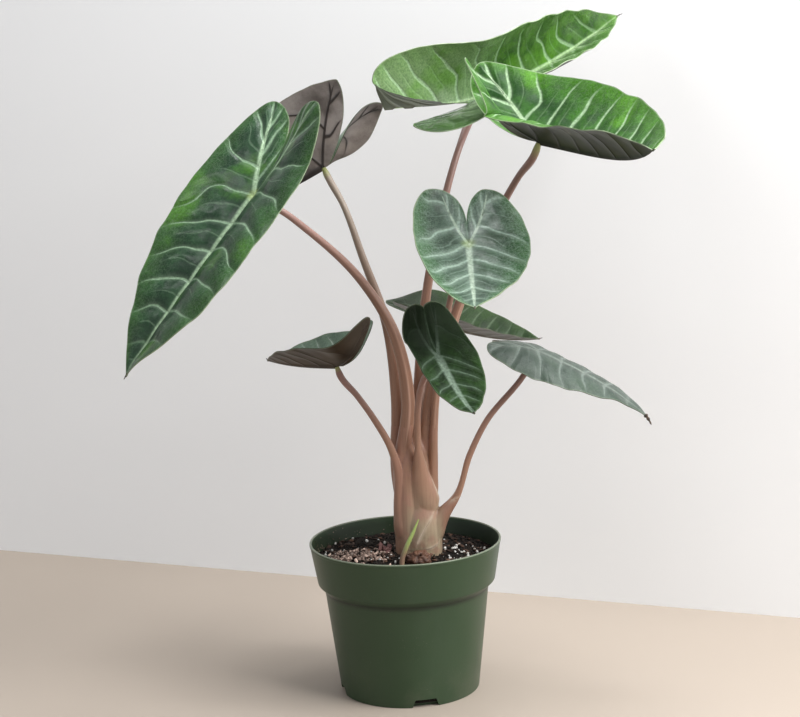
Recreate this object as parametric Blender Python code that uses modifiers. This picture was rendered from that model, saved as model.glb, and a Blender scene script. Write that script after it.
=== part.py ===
"""A pink dragon alocasia in its nursery pot, in metres, +Z up.

The origin is on the ground under the middle of the pot, and the front of the plant faces -Y.
Each leaf is a blade on a petiole. Low down, the petioles grow together into one stem.
"""

import math

import bmesh
import bpy
import numpy as np

NAME = "pink_dragon_alocasia"
GAP = 0.0003
MERGE_DISTANCE = 1e-5

# The pot is turned about the Z axis, and all turned solids share its number of steps.
TURN_STEPS = 40
POT_HEIGHT = 0.131
RIM_RADIUS = 0.0825
BAND_FOOT_RADIUS = 0.0765
BAND_FOOT_HEIGHT = 0.096
BODY_TOP_RADIUS = 0.0708
BODY_TOP_HEIGHT = 0.0905
BASE_RADIUS = 0.060
POT_WALL = 0.0018
POT_FLOOR = 0.003
EDGE_ROUNDING = 0.0006

# Four drain notches are cut in the foot of the wall.
NOTCH_ANGLES = (-168.0, -78.0, 12.0, 102.0)
NOTCH_WIDTH = 0.028
NOTCH_TOP_WIDTH = 0.018
NOTCH_HEIGHT = 0.007
NOTCH_DEPTH = 0.012

# The soil fills the pot, rises to the stem and is heaped at the left.
SOIL_LEVEL = 0.116
SOIL_CLEARANCE = 0.0005
SOIL_RINGS = 9
MOUND_HEIGHT = 0.004
MOUND_RADIUS = 0.030
HEAP_CENTRE = (-0.038, -0.012)
HEAP_HEIGHT = 0.006
HEAP_RADIUS = 0.024
EDGE_FADE = 0.15
CLOD_HEIGHT = 0.0012
# Clods: the pitch and the phase of their waves along X and along Y.
CLODS_ALONG_X = (0.030, 0.6)
CLODS_ALONG_Y = (0.035, 1.1)

# The stem stands in a round hole in the soil. Its core runs up inside the petioles: height, radius.
STEM_FOOT = (0.014, 0.001)
STEM_HEAD = (0.013, 0.004)
STEM_CORE = ((0.088, 0.0178), (0.124, 0.0178), (0.150, 0.0160), (0.185, 0.0140), (0.212, 0.0100))

CORM_CENTRE = (0.011, -0.029, 0.120)
CORM_SIZE = (0.0120, 0.0085, 0.0085)
CORM_HOLE_FLOOR = 0.110
CORM_SEGMENTS = 14
CORM_RINGS = 8
HOLE_SIDES = 20

# Routes are points and radii: x, y, z, radius.
SHOOT_ROUTE = (
    (-0.003, -0.034, 0.106, 0.0026),
    (-0.003, -0.034, 0.122, 0.0026),
    (0.001, -0.034, 0.133, 0.0023),
    (0.007, -0.033, 0.145, 0.0017),
    (0.012, -0.032, 0.156, 0.0006),
)

# A blade is a grid: each column runs along a lateral vein or between two, the rows along the blade.
BLADE_THICKNESS = 0.0008
LARGE_GRID = dict(midrib=16, lobe=5, rows=4)
SMALL_GRID = dict(midrib=12, lobe=4, rows=3)
LOBE_BEND_START = 0.12
RIB_SHARE = 0.90
VEIN_SLANT = 0.20
VEIN_ARCH = 0.16
LOBE_RIB_REACH = 0.95
LOBE_RIB_BOW = 0.25
SHOULDER_SHARE = 0.4
LOBE_ROUNDING = 0.8
LOBE_BEND_REACH = 1.4
BEND_STEPS = 60
BEND_END = 1.1

# The relief fades out near the tip and near the notch, and the right margin waves out of step.
BULGE_POWER = 0.7
TIP_FADE = 0.25
NOTCH_FADE = 0.2
WAVE_SHIFT = 2.0

# How far under the blade a petiole ends, and where it turns towards the blade.
PETIOLE_SEAT = 0.0014
STEEP_SEAT = 0.0022
PETIOLE_RUN_IN = 0.009
PETIOLE_END_SHARE = 0.6
PETIOLE_POINTS = 12
STEM_POINTS = 7
SHOOT_POINTS = 8
STRAIGHT_END = 0.004
ROUTE_STEPS = 160
TUBE_RESOLUTION = 2

# Angles are in degrees. Pairs are the left and the right half, seen from the petiole. tip and lobe are
# the lengths before and behind the petiole, and half is the half width. A low notch_power opens the notch.
LEAVES = {
    "large_left": dict(
        grid=LARGE_GRID, at=(-0.1118, -0.040, 0.4341), heading=214, pitch=-46, roll=2,
        tip=0.180, lobe=0.085, half=0.0625, lobe_middle=(0.62, 0.62), notch_power=1.0, sinus=0.12, joined=0,
        fullness=(5.0, 2.4),
        fold=(28, 26), curl=(-48, -2), lobe_fold=(2, -1), lobe_bend=(-17, 1),
        droop=8, droop_power=1.6, sway=-8, wave=0.0010, waves=6, vein_relief=0.0010,
    ),
    "upper_left": dict(
        grid=LARGE_GRID, at=(-0.0579, 0.044, 0.4498), heading=148.5, pitch=-26, roll=10,
        tip=0.131, lobe=0.059, half=0.0655, lobe_middle=(0.90, 0.90), notch_power=0.58, sinus=0.12, joined=0,
        fullness=(2.1, 2.1),
        fold=(83, 61), curl=(-4, -122), lobe_fold=(-4, 7), lobe_bend=(3, -18),
        droop=-11, droop_power=1.6, sway=-1, wave=0.0012, waves=6, vein_relief=0.0005,
    ),
    "top": dict(
        grid=LARGE_GRID, at=(0.0797, 0.072, 0.5027), heading=38.5, pitch=16, roll=-17,
        tip=0.1795, lobe=0.119, half=0.071, lobe_middle=(0.61, 0.61), notch_power=0.5, sinus=0.12, joined=0,
        fullness=(2.1, 2.2),
        fold=(87, 21), curl=(48, 19), lobe_fold=(-25, -31), lobe_bend=(-9, -23),
        droop=-15, droop_power=1.3, sway=0, wave=0.0014, waves=7, vein_relief=0.0010,
    ),
    "top_right": dict(
        grid=LARGE_GRID, at=(0.1182, -0.072, 0.4701), heading=-42, pitch=-10, roll=-25,
        tip=0.1565, lobe=0.0995, half=0.066, lobe_middle=(0.72, 0.72), notch_power=1.0, sinus=0.12, joined=0,
        fullness=(2.4, 2.4),
        fold=(16, 73), curl=(12, -56), lobe_fold=(-6, 8), lobe_bend=(-16, -56),
        droop=-40, droop_power=1.5, sway=-32, wave=0.0016, waves=5, vein_relief=0.0010,
    ),
    "centre": dict(
        grid=SMALL_GRID, at=(0.0595, -0.080, 0.392), heading=-90, pitch=-32, roll=-4,
        tip=0.099, lobe=0.057, half=0.049, lobe_middle=(0.40, 0.40), notch_power=1.0, sinus=0.42, joined=0.3,
        fullness=(2.2, 2.3),
        fold=(8, 9), curl=(-18, 41), lobe_fold=(-18, -2), lobe_bend=(-23, -17),
        droop=-23, droop_power=1.6, sway=1, wave=0.0006, waves=5, vein_relief=0.0005,
    ),
    "front": dict(
        grid=SMALL_GRID, at=(0.032, -0.065, 0.301), heading=-65, pitch=-37, roll=-8,
        tip=0.084, lobe=0.048, half=0.033, lobe_middle=(0.38, 0.38), notch_power=1.0, sinus=0.88, joined=0.5,
        fullness=(2.1, 2.3),
        fold=(5, -2), curl=(-12, 70), lobe_fold=(-12, -12), lobe_bend=(-30, -65),
        droop=-32, droop_power=1.6, sway=-6, wave=0.0008, waves=5, vein_relief=0.0006,
    ),
    "back": dict(
        grid=SMALL_GRID, at=(0.0332, 0.062, 0.3102), heading=6, pitch=-22, roll=-28,
        tip=0.095, lobe=0.045, half=0.038, lobe_middle=(0.56, 0.56), notch_power=1.0, sinus=0.12, joined=0,
        fullness=(2.5, 2.1),
        fold=(19, 47), curl=(-13, -3), lobe_fold=(-28, -8), lobe_bend=(11, -6),
        droop=-30, droop_power=1.6, sway=0, wave=0.0008, waves=5, vein_relief=0.0006,
    ),
    "right": dict(
        grid=SMALL_GRID, at=(0.118, -0.015, 0.293), heading=-11, pitch=-25, roll=8,
        tip=0.106, lobe=0.042, half=0.042, lobe_middle=(0.58, 0.58), notch_power=1.0, sinus=0.12, joined=0,
        fullness=(2.3, 2.0),
        fold=(14, -2), curl=(-28, -58), lobe_fold=(-8, 4), lobe_bend=(20, 14),
        droop=18, droop_power=1.6, sway=-5, wave=0.0008, waves=5, vein_relief=0.0006,
    ),
    "lower_left": dict(
        grid=SMALL_GRID, at=(-0.052, -0.015, 0.287), heading=148, pitch=-4, roll=-31,
        tip=0.077, lobe=0.056, half=0.036, lobe_middle=(0.66, 0.66), notch_power=0.45, sinus=0.12, joined=0,
        fullness=(2.3, 2.4),
        fold=(6, 72), curl=(-6, 8), lobe_fold=(-2, -4), lobe_bend=(-58, -60),
        droop=-15, droop_power=1.6, sway=-6, wave=0.0008, waves=4, vein_relief=0.0005,
    ),
}

# A petiole rises from its foot in the stem and leaves the stem at the height free_from. One that meets
# a steeply folded blade has its seat a little lower.
PETIOLES = {
    "large_left": dict(free_from=0.236, route=(
        (0.004, -0.002, 0.105, 0.0070), (0.003, -0.003, 0.128, 0.0070), (-0.001, -0.005, 0.193, 0.0062),
        (0.007, -0.006, 0.254, 0.0052), (-0.006, -0.009, 0.320, 0.0046), (-0.027, -0.012, 0.356, 0.0038),
        (-0.073, -0.026, 0.405, 0.0029), (-0.090, -0.033, 0.4195, 0.0027))),
    "upper_left": dict(free_from=0.236, route=(
        (0.006, 0.005, 0.105, 0.0068), (0.005, 0.006, 0.128, 0.0068), (-0.004, 0.007, 0.191, 0.0055),
        (-0.003, 0.006, 0.252, 0.0042), (-0.009, 0.007, 0.318, 0.0040), (-0.027, 0.014, 0.375, 0.0032),
        (-0.042, 0.028, 0.419, 0.0027))),
    "top": dict(free_from=0.236, seat=STEEP_SEAT, route=(
        (0.012, 0.010, 0.105, 0.0070), (0.012, 0.013, 0.188, 0.0055), (0.017, 0.013, 0.263, 0.0044),
        (0.026, 0.013, 0.340, 0.0040), (0.036, 0.018, 0.387, 0.0036), (0.058, 0.044, 0.459, 0.0029))),
    "top_right": dict(free_from=0.236, seat=STEEP_SEAT, route=(
        (0.020, 0.002, 0.105, 0.0070), (0.021, 0.002, 0.190, 0.0060), (0.025, 0.002, 0.251, 0.0048),
        (0.049, 0.002, 0.322, 0.0042), (0.074, -0.010, 0.383, 0.0036), (0.103, -0.044, 0.441, 0.0028))),
    "centre": dict(free_from=0.236, route=(
        (0.021, 0.002, 0.105, 0.0060), (0.026, -0.003, 0.188, 0.0040), (0.030, -0.007, 0.250, 0.0028),
        (0.036, -0.012, 0.290, 0.0026), (0.042, -0.020, 0.325, 0.0026), (0.050, -0.042, 0.362, 0.0025))),
    "front": dict(free_from=0.214, route=(
        (0.014, -0.006, 0.105, 0.0100), (0.014, -0.006, 0.165, 0.0110), (0.014, -0.013, 0.190, 0.0058),
        (0.014, -0.016, 0.205, 0.0032), (0.014, -0.018, 0.226, 0.0026), (0.015, -0.026, 0.251, 0.0025),
        (0.020, -0.041, 0.276, 0.0024))),
    "back": dict(free_from=0.236, route=(
        (0.016, 0.008, 0.105, 0.0060), (0.019, 0.018, 0.195, 0.0040), (0.021, 0.030, 0.245, 0.0026),
        (0.028, 0.050, 0.288, 0.0024))),
    "right": dict(free_from=0.176, route=(
        (0.017, -0.003, 0.105, 0.0095), (0.018, -0.003, 0.124, 0.0100), (0.023, -0.005, 0.138, 0.0100),
        (0.034, -0.009, 0.155, 0.0056), (0.044, -0.012, 0.168, 0.0032), (0.058, -0.014, 0.207, 0.0025),
        (0.072, -0.015, 0.234, 0.0024), (0.103, -0.015, 0.270, 0.0023))),
    "lower_left": dict(free_from=0.212, route=(
        (0.006, -0.004, 0.105, 0.0078), (0.005, -0.005, 0.126, 0.0078), (-0.001, -0.009, 0.140, 0.0070),
        (-0.003, -0.010, 0.158, 0.0054), (-0.004, -0.012, 0.196, 0.0036), (-0.009, -0.013, 0.214, 0.0029),
        (-0.020, -0.014, 0.236, 0.0026), (-0.036, -0.0145, 0.261, 0.0024))),
}

# A finish is a linear colour, as red, green and blue, and a roughness.
POT_FINISH = ((0.045, 0.085, 0.055), 0.45)
SOIL_FINISH = ((0.030, 0.022, 0.016), 0.95)
CORM_FINISH = ((0.16, 0.075, 0.05), 0.6)
SHOOT_FINISH = ((0.42, 0.47, 0.20), 0.5)
STEM_FINISH = ((0.36, 0.20, 0.15), 0.5)
PETIOLE_FINISH = ((0.33, 0.17, 0.13), 0.45)
LEAF_FINISH = ((0.045, 0.13, 0.05), 0.3)
SILVER_FINISH = ((0.17, 0.26, 0.19), 0.4)
SILVER_LEAVES = ("centre", "right")


def clear_scene():
    """Removes every object, so that only the plant is left."""
    for item in list(bpy.data.objects):
        bpy.data.objects.remove(item, do_unlink=True)


def make_collection(name):
    """A collection in the scene, under that name."""
    collection = bpy.data.collections.new(name)
    bpy.context.scene.collection.children.link(collection)
    return collection


def move_to(item, collection):
    """Puts an object in one collection alone."""
    for other in list(item.users_collection):
        other.objects.unlink(item)
    collection.objects.link(item)


def add_material(item, finish):
    """Gives an object its own Principled material."""
    colour, roughness = finish
    material = bpy.data.materials.new(item.name + "_material")
    material.use_nodes = True
    shader = material.node_tree.nodes["Principled BSDF"]
    shader.inputs["Base Color"].default_value = (*colour, 1.0)
    shader.inputs["Roughness"].default_value = roughness
    shader.inputs["Metallic"].default_value = 0.0
    item.data.materials.clear()
    item.data.materials.append(material)


def select_only(item):
    """Makes one object the active and only selected one."""
    bpy.ops.object.select_all(action="DESELECT")
    bpy.context.view_layer.objects.active = item
    item.select_set(True)


def apply_modifiers(item):
    """Applies all modifiers of an object in their order."""
    select_only(item)
    for modifier in list(item.modifiers):
        bpy.ops.object.modifier_apply(modifier=modifier.name)


def turned(name, profile, collection):
    """Turns a profile of radii and heights about the Z axis into a closed solid."""
    mesh = bpy.data.meshes.new(name)
    edges = [(i, i + 1) for i in range(len(profile) - 1)]
    mesh.from_pydata([(radius, 0.0, height) for radius, height in profile], edges, [])
    item = bpy.data.objects.new(name, mesh)
    collection.objects.link(item)
    screw = item.modifiers.new("turn", "SCREW")
    screw.axis = "Z"
    screw.steps = TURN_STEPS
    screw.render_steps = TURN_STEPS
    screw.use_merge_vertices = True
    screw.merge_threshold = MERGE_DISTANCE
    screw.use_smooth_shade = True
    return item


def cut(item, cutter):
    """Cuts an object with a cutter that stays hidden."""
    cutter.hide_render = True
    cutter.display_type = "WIRE"
    difference = item.modifiers.new("cut_" + cutter.name, "BOOLEAN")
    difference.operation = "DIFFERENCE"
    difference.object = cutter


def inner_profile():
    """The inside of the pot's wall, from the rim down to the floor: radius, height."""
    lip = POT_HEIGHT - EDGE_ROUNDING
    return (
        (RIM_RADIUS - POT_WALL, lip),
        (BAND_FOOT_RADIUS - POT_WALL, BAND_FOOT_HEIGHT),
        (BODY_TOP_RADIUS - POT_WALL, BODY_TOP_HEIGHT),
        (BASE_RADIUS - POT_WALL, POT_FLOOR),
    )


def wall_radius(height):
    """The pot's inner radius at a height."""
    radii, heights = zip(*reversed(inner_profile()))
    return float(np.interp(height, heights, radii))


def make_pot(parts, cutters):
    """The pot: a turned shell with a wide band under its rim and drain notches at its foot."""
    inside = [(0.0, POT_FLOOR)] + list(reversed(inner_profile()))
    rim = [
        (RIM_RADIUS - POT_WALL + EDGE_ROUNDING, POT_HEIGHT),
        (RIM_RADIUS - EDGE_ROUNDING, POT_HEIGHT),
        (RIM_RADIUS, POT_HEIGHT - EDGE_ROUNDING),
    ]
    outside = [
        (BAND_FOOT_RADIUS, BAND_FOOT_HEIGHT),
        (BODY_TOP_RADIUS, BODY_TOP_HEIGHT),
        (BASE_RADIUS, EDGE_ROUNDING),
        (BASE_RADIUS - EDGE_ROUNDING, 0.0),
        (0.0, 0.0),
    ]
    pot = turned("pot", inside + rim + outside, parts)
    for index, angle in enumerate(NOTCH_ANGLES):
        cut(pot, make_notch_cutter(index, math.radians(angle), cutters))
    add_material(pot, POT_FINISH)
    return pot


def make_notch_cutter(index, angle, cutters):
    """A block that narrows upwards, across the foot of the wall. Angle 0 is the front."""
    bpy.ops.mesh.primitive_cube_add(size=1.0)
    cutter = bpy.context.object
    cutter.name = "notch_cutter_" + str(index)
    narrow = NOTCH_TOP_WIDTH / NOTCH_WIDTH
    for corner in cutter.data.vertices:
        above = corner.co.z > 0.0
        corner.co.x *= NOTCH_WIDTH * (narrow if above else 1.0)
        corner.co.y *= NOTCH_DEPTH
        corner.co.z = NOTCH_HEIGHT if above else -NOTCH_HEIGHT
    cutter.location = (BASE_RADIUS * math.sin(angle), -BASE_RADIUS * math.cos(angle), 0.0)
    cutter.rotation_euler = (0.0, 0.0, angle)
    move_to(cutter, cutters)
    return cutter


def soil_height(x, y):
    """The soil's surface: a mound round the stem, a heap at the left, and low clods."""
    edge = wall_radius(SOIL_LEVEL) - SOIL_CLEARANCE
    fade = np.clip((edge - np.hypot(x, y)) / (EDGE_FADE * edge), 0.0, 1.0)
    to_stem = np.hypot(x - STEM_FOOT[0], y - STEM_FOOT[1]) / MOUND_RADIUS
    to_heap = np.hypot(x - HEAP_CENTRE[0], y - HEAP_CENTRE[1]) / HEAP_RADIUS
    waves_along_x = np.sin(2 * math.pi * x / CLODS_ALONG_X[0] + CLODS_ALONG_X[1])
    waves_along_y = np.sin(2 * math.pi * y / CLODS_ALONG_Y[0] + CLODS_ALONG_Y[1])
    relief = MOUND_HEIGHT * np.exp(-to_stem**2) + HEAP_HEIGHT * np.exp(-to_heap**2)
    return SOIL_LEVEL + fade * (relief + CLOD_HEIGHT * waves_along_x * waves_along_y)


def make_soil(parts, cutters):
    """The soil: a turned filling with an uneven top and holes for what grows in it."""
    edge = wall_radius(SOIL_LEVEL) - SOIL_CLEARANCE
    top = [(edge * ring / SOIL_RINGS, SOIL_LEVEL) for ring in range(SOIL_RINGS + 1)]
    side = [(radius - SOIL_CLEARANCE, height) for radius, height in inner_profile()[1:3]]
    foot = POT_FLOOR + SOIL_CLEARANCE
    bottom = [(wall_radius(foot) - SOIL_CLEARANCE, foot), (0.0, foot)]
    soil = turned("soil", top + side + bottom, parts)
    apply_modifiers(soil)
    for corner in soil.data.vertices:
        if corner.co.z > SOIL_LEVEL - SOIL_CLEARANCE:
            corner.co.z = float(soil_height(corner.co.x, corner.co.y))
    shoot_x, shoot_y, shoot_foot, shoot_radius = SHOOT_ROUTE[0]
    stem_foot, stem_radius = STEM_CORE[0]
    holes = (
        ("stem_hole", STEM_FOOT, stem_foot, (stem_radius, stem_radius)),
        ("corm_hole", CORM_CENTRE[:2], CORM_HOLE_FLOOR, CORM_SIZE[:2]),
        ("shoot_hole", (shoot_x, shoot_y), shoot_foot, (shoot_radius, shoot_radius)),
    )
    for name, centre, floor, radii in holes:
        cut(soil, make_hole_cutter(name, centre, floor, radii, cutters))
    add_material(soil, SOIL_FINISH)
    return soil


def make_hole_cutter(name, centre, floor, radii, cutters):
    """An upright round or oval plug with some play, from just under a floor to above the soil."""
    play = 2 * GAP
    top = POT_HEIGHT + POT_WALL
    bottom = floor - GAP
    bpy.ops.mesh.primitive_cylinder_add(vertices=HOLE_SIDES, radius=1.0, depth=1.0)
    cutter = bpy.context.object
    cutter.name = name
    cutter.location = (centre[0], centre[1], (top + bottom) / 2)
    cutter.scale = (radii[0] + play, radii[1] + play, top - bottom)
    move_to(cutter, cutters)
    return cutter


def smooth_route(route, count):
    """Points and radii at even steps along a smooth curve through a route."""
    route = np.array(route)
    lengths = np.linalg.norm(np.diff(route[:, :3], axis=0), axis=1)
    at = np.concatenate([[0.0], np.cumsum(lengths)])
    slopes = np.gradient(route, at, axis=0)
    wanted = np.linspace(0.0, at[-1], count)
    span = np.clip(np.searchsorted(at, wanted, side="right") - 1, 0, len(lengths) - 1)
    size = lengths[span][:, None]
    t = (wanted - at[span])[:, None] / size
    start = route[span] * (1 + 2 * t) * (1 - t) ** 2 + slopes[span] * size * t * (1 - t) ** 2
    end = route[span + 1] * t**2 * (3 - 2 * t) + slopes[span + 1] * size * t**2 * (t - 1)
    return start + end


def add_tube(name, points, collection):
    """A round bar along points of x, y, z and radius, with flat ends."""
    curve = bpy.data.curves.new(name, "CURVE")
    curve.dimensions = "3D"
    curve.bevel_depth = 1.0
    curve.bevel_resolution = TUBE_RESOLUTION
    curve.use_fill_caps = True
    spline = curve.splines.new("POLY")
    spline.points.add(len(points) - 1)
    for point, (x, y, z, radius) in zip(spline.points, points):
        point.co = (x, y, z, 1.0)
        point.radius = radius
    tube = bpy.data.objects.new(name, curve)
    collection.objects.link(tube)
    return tube


def as_mesh(tube, collection):
    """Turns a curve object into a closed mesh object of the same name."""
    evaluated = tube.evaluated_get(bpy.context.evaluated_depsgraph_get())
    mesh = bpy.data.meshes.new_from_object(evaluated)
    work = bmesh.new()
    work.from_mesh(mesh)
    bmesh.ops.remove_doubles(work, verts=work.verts, dist=MERGE_DISTANCE)
    bmesh.ops.recalc_face_normals(work, faces=work.faces)
    work.to_mesh(mesh)
    work.free()
    name = tube.name
    matrix = tube.matrix_world.copy()
    bpy.data.objects.remove(tube, do_unlink=True)
    item = bpy.data.objects.new(name, mesh)
    item.matrix_world = matrix
    collection.objects.link(item)
    return item


def leaf_axes(leaf):
    """Unit vectors of a leaf: along the midrib to the tip, to its left, and up from its upper face."""
    heading, pitch, roll = np.radians([leaf["heading"], leaf["pitch"], leaf["roll"]])
    ahead = np.array([math.cos(heading), math.sin(heading), 0.0])
    upright = np.array([0.0, 0.0, 1.0])
    forward = ahead * math.cos(pitch) + upright * math.sin(pitch)
    level_up = upright * math.cos(pitch) - ahead * math.sin(pitch)
    level_left = np.cross(level_up, forward)
    up = level_up * math.cos(roll) + level_left * math.sin(roll)
    return forward, np.cross(up, forward), up


def flat_leaf(leaf, side, station, row):
    """A point of the flat blade: station runs from 0 at the tip to 1 at the notch, row from rib to margin."""
    tip, lobe, half = leaf["tip"], leaf["lobe"], leaf["half"]
    middle = leaf["lobe_middle"][side] * half
    notch = leaf["sinus"] * lobe
    midrib, lobe_columns = leaf["grid"]["midrib"], leaf["grid"]["lobe"]
    column = station * (midrib + 2 * lobe_columns)
    along = np.clip(column / midrib, 0.0, 1.0)
    round_lobe = np.clip((column - midrib) / lobe_columns, 0.0, 1.0)
    inwards = np.clip((column - midrib - lobe_columns) / lobe_columns, 0.0, 1.0)

    # Where the vein leaves the midrib or the lobe's own rib.
    out_along_rib = round_lobe - inwards
    root_x = tip * (1.0 - along) - RIB_SHARE * lobe * out_along_rib
    root_y = LOBE_RIB_REACH * middle * out_along_rib * (1.0 + LOBE_RIB_BOW * (1.0 - out_along_rib))

    # Where it ends: the long margin, the shoulder, the back of the lobe, and the notch.
    shoulder = np.clip(round_lobe / SHOULDER_SHARE, 0.0, 1.0)
    share = (1.0 - along * (1.0 - VEIN_SLANT)) * (1.0 - shoulder)
    turn = np.clip((round_lobe - SHOULDER_SHARE) / (1.0 - SHOULDER_SHARE), 0.0, 1.0) * math.pi / 2
    back_turn = inwards * math.pi / 2
    edge_x = tip * share - lobe * np.sin(turn)
    edge_y = np.where(
        turn > 0.0,
        middle + (half - middle) * np.maximum(np.cos(turn), 0.0) ** LOBE_ROUNDING,
        half * (1.0 - share ** leaf["fullness"][side]),
    )
    edge_x = np.where(inwards > 0.0, -notch - (lobe - notch) * np.cos(back_turn), edge_x)
    inner_y = middle * np.maximum(1.0 - np.sin(back_turn), 0.0) ** leaf["notch_power"]
    edge_y = np.where(inwards > 0.0, inner_y, edge_y)

    arch = VEIN_ARCH * row * (1.0 - row) * np.hypot(edge_x - root_x, edge_y - root_y)
    x = root_x + (edge_x - root_x) * row - arch * np.where(along < 1.0, along, 1.0 - out_along_rib)
    y = root_y + (edge_y - root_y) * row
    return x, np.maximum(y, 0.0)


def bend(share, angle, ramp):
    """Runs along a line whose slope grows to angle: how far along, how far across, and the slope."""
    steps = np.linspace(0.0, BEND_END, BEND_STEPS)
    slopes = angle * ramp(steps)
    middles = (slopes[1:] + slopes[:-1]) / 2
    stride = steps[1]
    along = np.concatenate([[0.0], np.cumsum(np.cos(middles) * stride)])
    across = np.concatenate([[0.0], np.cumsum(np.sin(middles) * stride)])
    return np.interp(share, steps, along), np.interp(share, steps, across), angle * ramp(share)


def bend_lobes(share, angle):
    """The bend of a lobe, which grows quickly from its start and then holds."""
    return bend(share, math.radians(angle), lambda s: np.sin(math.pi / 2 * np.minimum(s * LOBE_BEND_REACH, 1.0)))


def blade_point(leaf, side, x, y, relief):
    """Carries a point of the flat blade to its place: side 0 is the left half and 1 the right."""
    tip, lobe, half = leaf["tip"], leaf["lobe"], leaf["half"]
    bend_start = LOBE_BEND_START * lobe
    bend_reach = lobe - bend_start
    sign = 1.0 if side == 0 else -1.0

    # The half is folded up from the midrib and curls on towards its margin.
    behind = np.clip(-x / lobe, 0.0, 1.0)
    fold = np.radians(leaf["fold"][side] + leaf["lobe_fold"][side] * behind**2 * (3 - 2 * behind))
    turn = math.radians(leaf["curl"][side]) * y / half / 2
    chord = y * np.sinc(turn / math.pi)
    across = chord * np.cos(fold + turn)
    rise = chord * np.sin(fold + turn) + relief

    # The lobes bend down from the notch backwards, and the blade droops towards its tip. Lobes that are
    # joined over a part of the half width share one bend where they meet.
    back = np.clip((-x - bend_start) / bend_reach, 0.0, BEND_END)
    back_run, back_drop, back_slope = bend_lobes(back, leaf["lobe_bend"][side])
    if leaf["joined"] > 0.0:
        apart = np.clip(y / (leaf["joined"] * half), 0.0, 1.0)
        shared = bend_lobes(back, sum(leaf["lobe_bend"]) / 2)
        back_run = shared[0] + (back_run - shared[0]) * apart
        back_drop = shared[1] + (back_drop - shared[1]) * apart
        back_slope = shared[2] + (back_slope - shared[2]) * apart
    fore_run, fore_drop, fore_slope = bend(
        np.clip(x / tip, 0.0, BEND_END), math.radians(leaf["droop"]), lambda s: s ** leaf["droop_power"])
    behind_run = -bend_start - back_run * bend_reach
    along = np.where(x > 0.0, fore_run * tip, np.where(x < -bend_start, behind_run, x))
    drop = fore_drop * tip + back_drop * bend_reach
    slope = fore_slope - back_slope
    along = along + rise * np.sin(slope)
    height = rise * np.cos(slope) - drop

    # The midrib sways sideways.
    fore = np.clip(along / tip, 0.0, BEND_END)
    sway_run, sway_out, sway_slope = bend(fore, math.radians(leaf["sway"]), lambda s: s)
    lateral = sign * across
    forward_part = np.where(along > 0.0, sway_run * tip - lateral * np.sin(sway_slope), along)
    left_part = sway_out * tip + lateral * np.cos(sway_slope)

    forward, left, up = leaf_axes(leaf)
    place = np.outer(forward_part, forward) + np.outer(left_part, left) + np.outer(height, up)
    return np.array(leaf["at"]) + place


def margin_relief(leaf, side, station, row, x):
    """How far the blade rises between its veins and waves at its margin."""
    midrib, lobe_columns = leaf["grid"]["midrib"], leaf["grid"]["lobe"]
    column = station * (midrib + 2 * lobe_columns)
    between_veins = np.sin(column * math.pi / 2) ** 2 * np.sin(row * math.pi) ** BULGE_POWER
    fade = np.clip((leaf["tip"] - x) / (TIP_FADE * leaf["tip"]), 0.0, 1.0)
    inner = np.clip((station - 1.0 + NOTCH_FADE) / NOTCH_FADE, 0.0, 1.0)
    phase = 2 * math.pi * leaf["waves"] * station + WAVE_SHIFT * side
    wave = np.sin(phase) * row**3 * fade * (1.0 - inner)
    return leaf["vein_relief"] * between_veins * (1.0 - inner) + leaf["wave"] * wave


def make_blade(name, leaf, parts):
    """A leaf blade: a grid bent to the leaf's form, split into triangles, and given its thickness."""
    side_columns = leaf["grid"]["midrib"] + 2 * leaf["grid"]["lobe"]
    bpy.ops.mesh.primitive_grid_add(
        x_subdivisions=2 * side_columns, y_subdivisions=leaf["grid"]["rows"], size=2.0)
    blade = bpy.context.object
    blade.name = name
    blade.data.name = name
    flat = np.array([corner.co[:] for corner in blade.data.vertices])
    row = (flat[:, 1] + 1.0) / 2
    left_half = flat[:, 0] <= MERGE_DISTANCE
    for side, chosen in enumerate((left_half, ~left_half)):
        station = np.abs(flat[chosen, 0])
        x, y = flat_leaf(leaf, side, station, row[chosen])
        relief = margin_relief(leaf, side, station, row[chosen], x)
        flat[chosen] = blade_point(leaf, side, x, y, relief)
    for corner, place in zip(blade.data.vertices, flat):
        corner.co = place
    work = bmesh.new()
    work.from_mesh(blade.data)
    bmesh.ops.remove_doubles(work, verts=work.verts, dist=MERGE_DISTANCE)
    bmesh.ops.triangulate(work, faces=work.faces)
    work.to_mesh(blade.data)
    work.free()
    solidify = blade.modifiers.new("thickness", "SOLIDIFY")
    solidify.thickness = BLADE_THICKNESS
    solidify.offset = -1.0
    move_to(blade, parts)
    return blade


def seat_direction(leaf, approach):
    """Halfway between a petiole's approach and the open side under the keel of a folded blade."""
    left, up = leaf_axes(leaf)[1:]
    lean = math.radians(leaf["fold"][0] - leaf["fold"][1]) / 2
    direction = up * math.cos(lean) - left * math.sin(lean) + approach / np.linalg.norm(approach)
    return direction / np.linalg.norm(direction)


def full_route(name):
    """A petiole's points and radii, up to its seat under the blade, where it is thinner."""
    at = np.array(LEAVES[name]["at"])
    route = [list(point) for point in PETIOLES[name]["route"]]
    radius = route[-1][3]
    direction = seat_direction(LEAVES[name], at - route[-1][:3])
    seat = PETIOLES[name].get("seat", PETIOLE_SEAT)
    route.append([*(at - direction * PETIOLE_RUN_IN), radius])
    route.append([*(at - direction * seat), radius * PETIOLE_END_SHARE])
    return smooth_route(route, ROUTE_STEPS)


def even_points(points, count):
    """Keeps count of the points, at even steps, with the first and the last."""
    chosen = np.linspace(0, len(points) - 1, count).round().astype(int)
    return points[chosen]


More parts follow.
